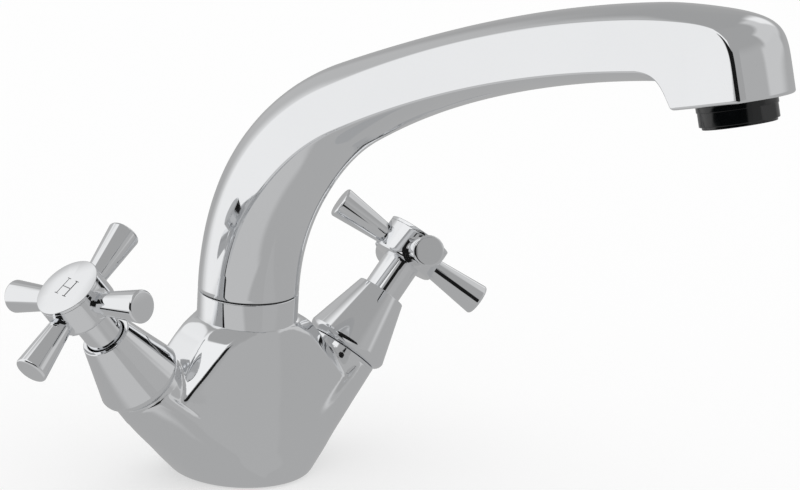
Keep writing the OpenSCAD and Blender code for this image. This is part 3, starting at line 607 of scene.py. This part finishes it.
def tube_field(height, cell, radius):
    """Six-sided tubes side by side, cell millimetres apart, as far out as radius lets them."""
    corner = 1 / math.sqrt(3)
    outer_r, bore_r = corner * 1.01, corner * 0.86
    rim = [[(r * sin(math.pi * k / 3), r * cos(math.pi * k / 3), z) for k in range(6)]
           for r, z in ((outer_r, 0), (bore_r, 0), (bore_r, height), (outer_r, height))]
    faces = []
    for low in range(4):
        high = (low + 1) % 4
        for k in range(6):
            n = (k + 1) % 6
            faces.append((6 * low + k, 6 * low + n, 6 * high + n, 6 * high + k))
    tube = mesh_of([p for ring in rim for p in ring], faces)
    tree = bpy.data.node_groups.new("tube field", "GeometryNodeTree")
    for name, kind in (("Cell", "Float"), ("Radius", "Float"), ("Tube", "Object")):
        tree.interface.new_socket(name, in_out="INPUT", socket_type="NodeSocket" + kind)
    tree.interface.new_socket("Geometry", in_out="OUTPUT", socket_type="NodeSocketGeometry")
    net = Net(tree)
    size, reach, solid = net.outputs_of(net.node("NodeGroupInput"), "Cell", "Radius", "Tube")
    across, rows_up = 13, 9
    grid = net.node("GeometryNodeMeshGrid", {}, {
        "Size X": size * (across - 1), "Size Y": size * (rows_up - 1) * math.sqrt(3), "Vertices X": across,
        "Vertices Y": rows_up})
    shift = net.node("ShaderNodeCombineXYZ", {}, {"X": size * 0.5, "Y": size * (math.sqrt(3) / 2)})
    between = net.node("GeometryNodeTransform", {}, {"Geometry": grid, "Translation": shift})
    both = net.node("GeometryNodeJoinGeometry", {}, {"Geometry": grid})
    net.tree.links.new(between.socket, both.socket.node.inputs[0])
    position = net.node("GeometryNodeInputPosition")
    far = net.node("ShaderNodeVectorMath", {"operation": "LENGTH"}, {0: position}, out="Value")
    beyond = net.node("FunctionNodeCompare", {"data_type": "FLOAT", "operation": "GREATER_THAN"},
                      {0: far + size * corner, 1: reach})
    cut = {"Geometry": both, "Selection": beyond}
    kept = net.node("GeometryNodeDeleteGeometry", {"domain": "POINT"}, cut)
    shape = net.node("GeometryNodeObjectInfo", {}, {"Object": solid}, out="Geometry")
    scale = net.node("ShaderNodeCombineXYZ", {}, {"X": size, "Y": size, "Z": 1.0})
    spread = net.node("GeometryNodeInstanceOnPoints", {}, {"Points": kept, "Instance": shape, "Scale": scale})
    real = net.node("GeometryNodeRealizeInstances", {}, {"Geometry": spread})
    done = net.node("GeometryNodeSetMaterial", {}, {"Geometry": real, "Material": FINISHES["aerator black"]})
    net.node("NodeGroupOutput", {}, {"Geometry": done})
    field = mesh_of([(0, 0, 0)], [])
    modifier = field.modifiers.new("tubes", "NODES")
    modifier.node_group = tree
    given_values = {"Cell": cell, "Radius": radius, "Tube": tube}
    for item in tree.interface.items_tree:
        if item.in_out == "INPUT":
            modifier[item.identifier] = given_values[item.name]
    mesh = bpy.data.meshes.new_from_object(field.evaluated_get(bpy.context.evaluated_depsgraph_get()))
    field.modifiers.clear()
    field.data = mesh
    bpy.data.objects.remove(tube)
    return field


# Body casting: a skin stretched over discs, held as a field of depths on a grid and then softened


def disc_points(radius, height, place=None, kept=None, n=112):
    """Rim of a disc in millimetres, or of the part of it that kept accepts."""
    turns = [2 * math.pi * k / n for k in range(n)]
    rim = [Vector((radius * cos(a), radius * sin(a), height)) for a in turns]
    if kept is not None:
        rim = [p for p in rim if kept(p)]
    return [place @ p for p in rim] if place is not None else rim


def hull_planes(points, weld=1e-3, least_area=1e-4, slack=0.02):
    """Outward planes (nx, ny, nz, distance) of the skin round points."""
    shape = bmesh.new()
    for p in points:
        shape.verts.new(p)
    bmesh.ops.remove_doubles(shape, verts=shape.verts, dist=weld)
    bmesh.ops.convex_hull(shape, input=shape.verts)
    middle = sum((v.co for v in shape.verts), Vector()) / len(shape.verts)
    planes = set()
    for f in shape.faces:
        if f.calc_area() < least_area:
            continue
        n = f.normal.copy()
        if n.dot(f.verts[0].co - middle) < 0:
            n = -n
        planes.add(tuple(round(v, 5) for v in (*n, n.dot(f.verts[0].co))))
    shape.free()
    planes, corners = np.array(sorted(planes)), np.array([tuple(p) for p in points])
    cuts = (corners @ planes[:, :3].T - planes[:, 3]).max(axis=0)
    return planes[cuts < slack].astype(np.float32)


def eased(x, low, high):
    """0 below low, 1 above high, eased between, for an array."""
    t = np.clip((x - low) / (high - low), 0, 1)
    return t * t * (3 - 2 * t)


def softened(field, spread):
    """field after a blur of spread cells along each axis."""
    reach = max(1, int(3 * spread))
    weights = np.exp(-0.5 * (np.arange(-reach, reach + 1) / spread) ** 2)
    weights /= weights.sum()
    for axis in range(3):
        padded = np.pad(field, [(reach, reach) if a == axis else (0, 0) for a in range(3)], mode="reflect",
                        reflect_type="odd")
        total = np.zeros_like(field)
        for k, weight in enumerate(weights):
            window = [slice(None)] * 3
            window[axis] = slice(k, k + field.shape[axis])
            total += np.float32(weight) * padded[tuple(window)]
        field = total
    return field


def base_points():
    edge = EDGE_MID * BASE_EDGE
    rims = ((BASE_R - BASE_EDGE, 0), (BASE_R - edge, edge), (BASE_R, BASE_EDGE))
    return [p for radius, height in rims for p in disc_points(radius, height)]


def core_points():
    """What the middle of the casting is stretched over: base, collar, ridges, lobes and domes."""
    core = base_points() + disc_points(COLLAR_R + COLLAR_SPREAD, SHOULDER_Z - COLLAR_TUCK)
    core += [Vector((i * x, j * y, z)) for x, y, z in RIDGE for i in (-1, 1) for j in (-1, 1)]
    for side in (HOT, COLD):
        core += disc_points(LOBE_R, -DECK_DEPTH, at_valve(side))
        for y in np.linspace(-DOME_HALF_W, DOME_HALF_W, DOME_ROWS):
            core += [Vector((side * (DOME_X + DOME_R * sin(a)), y * (1 + sin(a) * DOME_SPREAD),
                             DOME_Z + DOME_R * cos(a))) for a in np.linspace(0, math.pi / 2, DOME_STEPS)]
    return core


def arm_points():
    """What the hot side's arm is stretched over: base, lobe and the rim under the seat."""
    arm = [p for p in base_points() if p.x < ARM_FROM]
    for depth in (SEAT_LIP, DECK_DEPTH):
        arm += disc_points(LOBE_R, -depth, at_valve(HOT), kept=lambda p: p.x < LIP_TO)
    return arm


def body_field(step):
    """Depth field of the casting, below 0 inside, on a grid of step millimetres; and the grid's corner.

    It is worked out for a quarter of the casting and mirrored.
    """
    far_off, chunk = 1e3, 40000
    x = np.arange(-FIELD_X, step / 2, step, dtype=np.float32)
    y = np.arange(-FIELD_Y, step / 2, step, dtype=np.float32)
    z = np.arange(FIELD_LOW, FIELD_HIGH, step, dtype=np.float32)
    grid = np.stack(np.meshgrid(x, y, z, indexing="ij"), axis=-1).reshape(-1, 3)
    field = np.full(len(grid), far_off, dtype=np.float32)
    for points in (core_points(), arm_points()):
        planes = hull_planes(points)
        for low in range(0, len(grid), chunk):
            part = slice(low, low + chunk)
            depth = (grid[part] @ planes[:, :3].T - planes[:, 3]).max(axis=1)
            field[part] = np.minimum(field[part], depth)
    tilt = radians(VALVE_TILT)
    away = grid - np.array((-SEAT_X, 0, SEAT_Z), dtype=np.float32)
    up = away[:, 2] * cos(tilt) - away[:, 0] * sin(tilt)
    out = away[:, 0] * cos(tilt) + away[:, 2] * sin(tilt)
    boss = np.maximum(np.hypot(out, away[:, 1]) - BOSS_R, np.maximum(up + BOSS_SUNK, -BOSS_FOOT - up))
    field = np.minimum(field, boss).reshape(len(x), len(y), len(z)).astype(np.float32)
    field = np.concatenate([field, field[-2::-1]], axis=0)
    field = np.concatenate([field, field[:, -2::-1]], axis=1)
    return field, np.array((x[0], y[0], z[0]))


def sampled(fields, corner, step, points):
    """Values of grid fields at points, straight between the grid's own."""
    at = (points - corner) / step
    low = np.clip(np.floor(at).astype(int), 0, np.array(fields[0].shape) - 2)
    part = at - low
    out = [np.zeros(len(points)) for _ in fields]
    for i in (0, 1):
        for j in (0, 1):
            for k in (0, 1):
                weight = np.abs(1 - i - part[:, 0]) * np.abs(1 - j - part[:, 1]) * np.abs(1 - k - part[:, 2])
                for total, field in zip(out, fields):
                    total += weight * field[low[:, 0] + i, low[:, 1] + j, low[:, 2] + k]
    return out


def skin_of(field, corner, step, settlings=6):
    """Closed mesh of four-sided faces where the field is 0, with its vertices moved on to the field."""
    inside = field < 0
    cells = tuple(n - 1 for n in field.shape)
    total, count = np.zeros(cells + (3,)), np.zeros(cells)
    for axis in range(3):
        ends = [slice(0, n) for n in field.shape]
        starts = list(ends)
        starts[axis], ends[axis] = slice(0, field.shape[axis] - 1), slice(1, field.shape[axis])
        a, b = field[tuple(starts)], field[tuple(ends)]
        crossing = inside[tuple(starts)] != inside[tuple(ends)]
        share = np.where(crossing, a / np.where(crossing, a - b, 1), 0)
        others = [k for k in range(3) if k != axis]
        for p in (0, 1):
            for q in (0, 1):
                window = [slice(None)] * 3
                window[others[0]] = slice(p, p + cells[others[0]])
                window[others[1]] = slice(q, q + cells[others[1]])
                hit = crossing[tuple(window)]
                offset = np.zeros(cells + (3,))
                offset[..., axis] = share[tuple(window)]
                offset[..., others[0]], offset[..., others[1]] = p, q
                total += offset * hit[..., None]
                count += hit
    used = count > 0
    number = np.full(cells, -1)
    number[used] = np.arange(used.sum())
    points = (np.argwhere(used) + total[used] / count[used][:, None]) * step + corner
    faces = []
    for axis in range(3):
        near, far = [slice(1, n - 1) for n in field.shape], [slice(1, n - 1) for n in field.shape]
        near[axis], far[axis] = slice(0, field.shape[axis] - 1), slice(1, field.shape[axis])
        change = np.argwhere(inside[tuple(near)] != inside[tuple(far)])
        out = inside[tuple(near)][tuple(change.T)]
        first = change + np.array([0 if k == axis else 1 for k in range(3)])
        others = [(axis + 1) % 3, (axis + 2) % 3]
        loop = []
        for p, q in ((1, 1), (0, 1), (0, 0), (1, 0)):
            cell = first.copy()
            cell[:, others[0]] -= p
            cell[:, others[1]] -= q
            loop.append(number[tuple(cell.T)])
        quads = np.stack(loop, axis=-1)
        quads[~out] = quads[~out][:, ::-1]
        faces += quads.tolist()
    slopes = [s.astype(np.float32) for s in np.gradient(field, step)]
    for _ in range(settlings):
        value, *slope = sampled([field] + slopes, corner, step, points)
        slope = np.stack(slope, axis=-1)
        points -= slope * (value / np.maximum((slope ** 2).sum(axis=-1), 1e-6))[:, None]
    return points, faces


def squared_ring(inner, outer, bottom, top, place=None, segments=64):
    """Ring with square edges, or a plain cylinder where inner is 0."""
    corners = ((inner, bottom), (outer, bottom), (outer, top), (inner, top))
    return turned([Vector(p) for p in corners], place, segments)


def underside_tool():
    """Solids of the two inlets, the stud's hole and the seal's groove; no two end in one plane."""
    below, apart = -1.0, 0.01
    inlets = [squared_ring(0, INLET_R, below, INLET_DEPTH, Matrix.Translation((side * INLET_X, INLET_Y, 0)))
              for side in (HOT, COLD)]
    stud = squared_ring(0, STUD_R, below - apart, STUD_DEPTH, Matrix.Translation((0, -STUD_Y, 0)))
    inner, outer = SEAL_MID_R - SEAL_W / 2, SEAL_MID_R + SEAL_W / 2
    groove = squared_ring(inner, outer, below - 2 * apart, SEAL_DEPTH, segments=160)
    return joined(stud, groove, *inlets)


def make_body():
    sunk, boss_gap, boss_top, grub_from = 8, 0.05, -0.02, 10.5
    field, corner = body_field(SKIN_STEP)
    height = (corner[2] + SKIN_STEP * np.arange(field.shape[2])).astype(np.float32)[None, None, :]
    foot, flank = 1 - eased(height, *FOOT_ZONE), eased(height, *FLANK_START) * (1 - eased(height, *FLANK_END))
    foot_skin, flank_skin, top_skin = (softened(field, soft / SKIN_STEP)
                                       for soft in (FOOT_SOFT, FLANK_SOFT, SKIN_SOFT))
    field = foot_skin * foot + flank_skin * flank + top_skin * (1 - foot - flank)
    points, faces = skin_of(field, corner, SKIN_STEP)
    skin = worked(mesh_of(points, faces), underside_tool(), "DIFFERENCE")
    collar = turned(rounded([(0, SHOULDER_Z - sunk, 0), (COLLAR_R, SHOULDER_Z - sunk, 0),
                             (COLLAR_R, COLLAR_Z, CAST_EDGE), (0, COLLAR_Z, 0)]), segments=224)
    behind = Matrix.Translation((0, 0, GRUB_Z)) @ Matrix.Rotation(-math.pi / 2, 4, "X")
    collar = worked(collar, squared_ring(0, GRUB_R, grub_from, COLLAR_R + 1, behind), "DIFFERENCE")
    boss_r = BOSS_R - boss_gap
    boss = rounded([(0, -sunk, 0), (boss_r, -sunk, 0), (boss_r, boss_top, CAST_EDGE), (0, boss_top, 0)])
    bosses = [turned(boss, at_valve(side)) for side in (HOT, COLD)]
    piece = joined(skin, collar, *bosses)
    dress(piece, "body_casting_skin", "body_chrome", "mixer_body", ["body_casting"], crease=CAST_CREASE)


# Shrouds and cross handles


def make_shroud(name):
    hole_r, inner, edge, hole_edge, lip_h = STEM_R + 0.45, FLANGE_R + 0.3, 0.45, 0.25, 3
    outline = rounded([
        (inner, 0, 0), (SHROUD_R, 0, SHROUD_ROUND), (SHROUD_R, SHROUD_ROUND * 0.99, 0),
        (SHROUD_TOP_R, SHROUD_H, edge), (hole_r, SHROUD_H, hole_edge), (hole_r, SHROUD_H - lip_h, 0),
        (SHROUD_TOP_R - SHROUD_WALL, SHROUD_H - lip_h, 0), (inner, SHROUD_ROUND, 0)], 10)
    piece = turned(outline, at_valve(SIDES[name]), segments=192)
    dress(piece, f"{name}_shroud_bell", "trim_chrome", "mixer_body", [f"{name}_shroud"])


def arm_frames(name):
    """Frames of a cross handle's arms: origin in the hub's middle, Z out along the arm."""
    hub = at_valve(SIDES[name]) @ Matrix.Translation((0, 0, HUB_Z))
    lie_down = Matrix.Rotation(math.pi / 2, 4, "Y")
    return [hub @ Matrix.Rotation(radians(CROSS_A[name] + 90 * i), 4, "Z") @ lie_down for i in range(4)]


def make_handle(name):
    place = at_valve(SIDES[name])
    bottom, top, row_h, tiny = HUB_Z - HUB_DOWN, HUB_Z + HUB_UP, 0.6, 1e-4
    rim = rounded([(0, bottom, 0), (HUB_R, bottom, HUB_ROUND), (HUB_R, top, HUB_EDGE), (0, top, 0)])
    wall = next(i for i in range(len(rim) - 1) if rim[i].x > HUB_R - tiny and rim[i + 1].x > HUB_R - tiny)
    rim[wall:wall + 1] = rows(rim[wall], rim[wall + 1], row_h)
    hub = turned(rim, place, segments=240)
    for arm in arm_frames(name):
        spot = squared_ring(0, SPOT_FACE_R, SPOT_FACE_X, SPOT_FACE_END, arm, segments=96)
        hub = worked(hub, spot, "DIFFERENCE")
    into_hub, into_face = 1, 1.5
    stem_top, root = bottom + into_hub, SPOT_FACE_X - into_face
    stem = squared_ring(0, STEM_R, STEM_BOTTOM, stem_top, place, segments=160)
    taper = rounded([(0, root, 0), (ARM_ROOT_R, root, 0), (ARM_TIP_R, ARM_LEN, ARM_TIP_ROUND),
                     (0, ARM_LEN, 0)], 8)
    arms = [turned(taper, arm, segments=128) for arm in arm_frames(name)]
    piece = joined(hub, stem, *arms)
    dress(piece, f"{name}_cross_handle", "handle_chrome", f"{name}_cross", [f"{name}_handle"])


def bar(x, y, width, height):
    """Corners of a bar about (x, y) on the index, width across and height up the letter."""
    return [(x + i * width / 2, y + j * height / 2) for i, j in ((-1, -1), (1, -1), (1, 1), (-1, 1))]


def letter_outlines(name):
    """Bars and strokes of a plain capital with small feet, in millimetres: H for hot, C for cold."""
    if name == "hot":
        outlines = [bar(0, 0, LETTER_W, THIN_STROKE)]
        for side, stroke in ((-1, THIN_STROKE), (1, THICK_STROKE)):
            x = side * LETTER_W / 2
            outlines.append(bar(x, 0, stroke, LETTER_H))
            foot_y = (LETTER_H - SERIF_T + SERIF_OUT) / 2
            outlines += [bar(x, end * foot_y, SERIF_W, SERIF_T) for end in (-1, 1)]
        return outlines
    radius, opening, steps = LETTER_H / 2, radians(OPENING_A), 40
    outer, inner = [], []
    for k in range(steps + 1):
        a = opening + (2 * math.pi - 2 * opening) * k / steps
        stroke = THIN_STROKE + (THICK_STROKE - THIN_STROKE) * max(0.0, -cos(a))
        outer.append((radius * cos(a), radius * sin(a)))
        inner.append(((radius - stroke) * cos(a), (radius - stroke) * sin(a)))
    end = (radius - THIN_STROKE / 2) * cos(opening), (radius - THIN_STROKE / 2) * sin(opening)
    return [outer + inner[::-1]] + [bar(end[0], up * end[1], SERIF_T, SERIF_W) for up in (-1, 1)]


def engraved(piece, name, place, face):
    """piece with the letter cut in at height face, each stroke STROKE_STEP deeper than the last."""
    on_index = place @ Matrix.Rotation(LETTER_TURN - math.pi / 2, 4, "Z")
    for k, outline in enumerate(letter_outlines(name)):
        n, more = len(outline), STROKE_STEP * k
        points = [(x, y, z) for z in (face - LETTER_DEPTH - more, face + 1 + more) for x, y in outline]
        faces = [(i, (i + 1) % n, n + (i + 1) % n, n + i) for i in range(n)]
        faces += [tuple(range(n))[::-1], tuple(range(n, 2 * n))]
        piece = worked(piece, mesh_of(points, faces, on_index), "DIFFERENCE")
    return piece


def make_index(name):
    place = at_valve(SIDES[name])
    top = HUB_Z + HUB_UP
    under, face = top + INDEX_GAP, top + INDEX_T
    outline = rounded([(0, top - PLUG_H, 0), (PLUG_R, top - PLUG_H, 0), (PLUG_R, under, 0),
                       (HUB_R, under, HUB_EDGE), (HUB_R, face, INDEX_EDGE), (0, face, 0)])
    piece = engraved(turned(outline, place, segments=224), name, place, face)
    piece.data.materials.clear()
    for used in ("index chrome", "engraving"):
        piece.data.materials.append(FINISHES[used])
    back, lowest, highest = place.inverted(), face - LETTER_DEPTH - 0.1, face - 0.01
    for f in piece.data.polygons:
        centre = back @ f.center
        f.material_index = int(lowest < centre.z < highest and centre.xy.length < HUB_R / 2)
    dress(piece, f"{name}_index_disc", "index_chrome", f"{name}_cross", [f"{name}_index"], painted=True)


make_spout()
make_aerator()
make_body()
for side_name in SIDES:
    make_shroud(side_name)
    make_handle(side_name)
    make_index(side_name)

# Carried-over nodes keep their shape and take their slot's finish
for entry in frame["record"]["subparts"]:
    for material_slot in NODES[entry["node"]].material_slots:
        material_slot.material = finish_of(entry["material_slot"])

# Camera at the photographed angle, in metres, degrees and pixels
CAMERA_AT = Vector((-0.5958, -0.9007, 0.4085))
YAW, PITCH, ROLL = radians(53.868), radians(16.875), radians(3.442)
FOCAL_PX, FRAME_W = 3374.3, 800
forward = Vector((cos(YAW) * cos(PITCH), sin(YAW) * cos(PITCH), -sin(PITCH)))
level = Vector((sin(YAW), -cos(YAW), 0))
upward = level.cross(forward)
right = cos(ROLL) * level + sin(ROLL) * upward
top_side = -sin(ROLL) * level + cos(ROLL) * upward
camera_data = bpy.data.cameras.new("camera")
camera_data.lens = FOCAL_PX / FRAME_W * camera_data.sensor_width
camera = bpy.data.objects.new("camera", camera_data)
bpy.context.scene.collection.objects.link(camera)
facing = Matrix((right, top_side, -forward)).transposed().to_4x4()
camera.matrix_world = Matrix.Translation(CAMERA_AT) @ facing
bpy.context.scene.camera = camera
bpy.context.scene.view_settings.view_transform = "Standard"


# Studio: a pale floor and, where the metal looks, a grey surround with soft panels

FLOOR_REACH, FLOOR_DROP, FLOOR_GREY, FLOOR_LIFT = 6.0, 0.0001, 0.5, 0.49
SKY_LIGHT, MIXER_MIDDLE = 1.0, (0, -0.08, 0.11)
SURROUND, SURROUND_FALL, FALL_SPAN = 0.42, -0.04, (0, 14)
# Tone of a panel, its span round from the back over the right, its span up from level, and its soft edge
PANELS = (
    (0.44, (132, 200), (-90, 30), 16),
    (0.54, (-126, -50), (-66, -10), 12),
    (0.5, (-30, 18), (-4, 38), 12),
    (0.88, (-28, -8), (27, 38), 6),
    (0.37, (12, 52), (22, 68), 10),
    (0.62, (50, 128), (12, 52), 10),
    (0.9, (48, 66), (16, 36), 8),
    (0.6, (86, 138), (3, 24), 8),
)
DARK_CORNER = (0.01, (-165, -76), (-13, 31), 2)
# A window and a skylight: their tones, and in degrees the pairs over which each comes in and goes out
WINDOW, WINDOW_TURN, WINDOW_RISE = 0.91, ((-72.5, -71.5), (-4, -34)), ((-26, -22), (66, 62))
SKYLIGHT, SKYLIGHT_TURN, SKYLIGHT_LOW, SKYLIGHT_HIGH = 0.95, ((-139, -133), (-52, -62)), (32, 35), (60, 56)
SLOPE_FROM, SLOPE, SLOPE_MOST = -115, 0.2, 6


def studio_tone(net, heading):
    """Brightness of the surround as the metal sees it, by the heading from the object."""
    x, y, z = net.outputs_of(net.node("ShaderNodeSeparateXYZ", {}, {0: heading}), "X", "Y", "Z")
    turn = net.node("ShaderNodeMath", {"operation": "ARCTAN2"}, {0: x, 1: y}) * (180 / math.pi)
    rise = net.node("ShaderNodeMath", {"operation": "ARCSINE"}, {0: z}) * (180 / math.pi)

    def span(angle, start, end):
        return angle.between(*start) * angle.between(*end)

    def panel(around, upright, soft):
        half = soft / 2
        turns, rises = (((low - half, low + half), (high + half, high - half))
                        for low, high in (around, upright))
        return span(turn, *turns) * span(rise, *rises)

    slope = ((turn - SLOPE_FROM) * SLOPE).larger(0).smaller(SLOPE_MOST)
    over_slope = rise.between(*SKYLIGHT_LOW) * (rise - slope).between(*SKYLIGHT_HIGH)
    skylight = span(turn, *SKYLIGHT_TURN) * over_slope
    window = span(turn, *WINDOW_TURN) * span(rise, *WINDOW_RISE)
    dark, *dark_span = DARK_CORNER
    layers = [(value, panel(*spans)) for value, *spans in PANELS]
    layers += [(WINDOW, window), (SKYLIGHT, skylight), (dark, panel(*dark_span))]
    tone = rise.between(*FALL_SPAN) * SURROUND_FALL + SURROUND
    for value, mask in layers:
        tone = tone * (1 - mask) + mask * value
    return tone


def seen_by(net):
    """1 on rays from the camera, and 1 on rays off the metal."""
    return net.outputs_of(net.node("ShaderNodeLightPath"), "Is Camera Ray", "Is Glossy Ray")


world = bpy.data.worlds.new("studio")
world.use_nodes = True
net = Net(world.node_tree)
by_camera, by_metal = seen_by(net)
tone = studio_tone(net, net.node("ShaderNodeTexCoord", out=0))
strength = by_camera + (1 - by_camera) * (by_metal * tone + (1 - by_metal) * SKY_LIGHT)
background = net.node("ShaderNodeBackground", {}, {"Color": (1, 1, 1, 1), "Strength": strength})
net.node("ShaderNodeOutputWorld", {}, {"Surface": background})
bpy.context.scene.world = world

floor_paint = bpy.data.materials.new("floor")
floor_paint.use_nodes = True
net = Net(floor_paint.node_tree)
by_camera, by_metal = seen_by(net)
place = net.node("ShaderNodeTexCoord", out=3)
away = net.node("ShaderNodeVectorMath", {"operation": "SUBTRACT"}, {0: place, 1: MIXER_MIDDLE})
heading = net.node("ShaderNodeVectorMath", {"operation": "NORMALIZE"}, {0: away})
tone = studio_tone(net, heading)
diffuse = net.node("ShaderNodeBsdfDiffuse", {}, {"Color": grey(FLOOR_GREY)})
glow = net.node("ShaderNodeEmission", {}, {"Strength": by_camera * FLOOR_LIFT + by_metal * tone})
lit = net.node("ShaderNodeAddShader", {}, {0: diffuse, 1: glow})
shown = net.node("ShaderNodeMixShader", {}, {0: by_metal, 1: lit, 2: glow})
net.node("ShaderNodeOutputMaterial", {}, {"Surface": shown})

floor_mesh = bpy.data.meshes.new("floor")
floor_corners = [(i * FLOOR_REACH, j * FLOOR_REACH, -FLOOR_DROP) for i in (-1, 1) for j in (-1, 1)]
floor_mesh.from_pydata(floor_corners, [], [(0, 2, 3, 1)])
floor_mesh.materials.append(floor_paint)
floor = bpy.data.objects.new("floor", floor_mesh)
bpy.context.scene.collection.objects.link(floor)
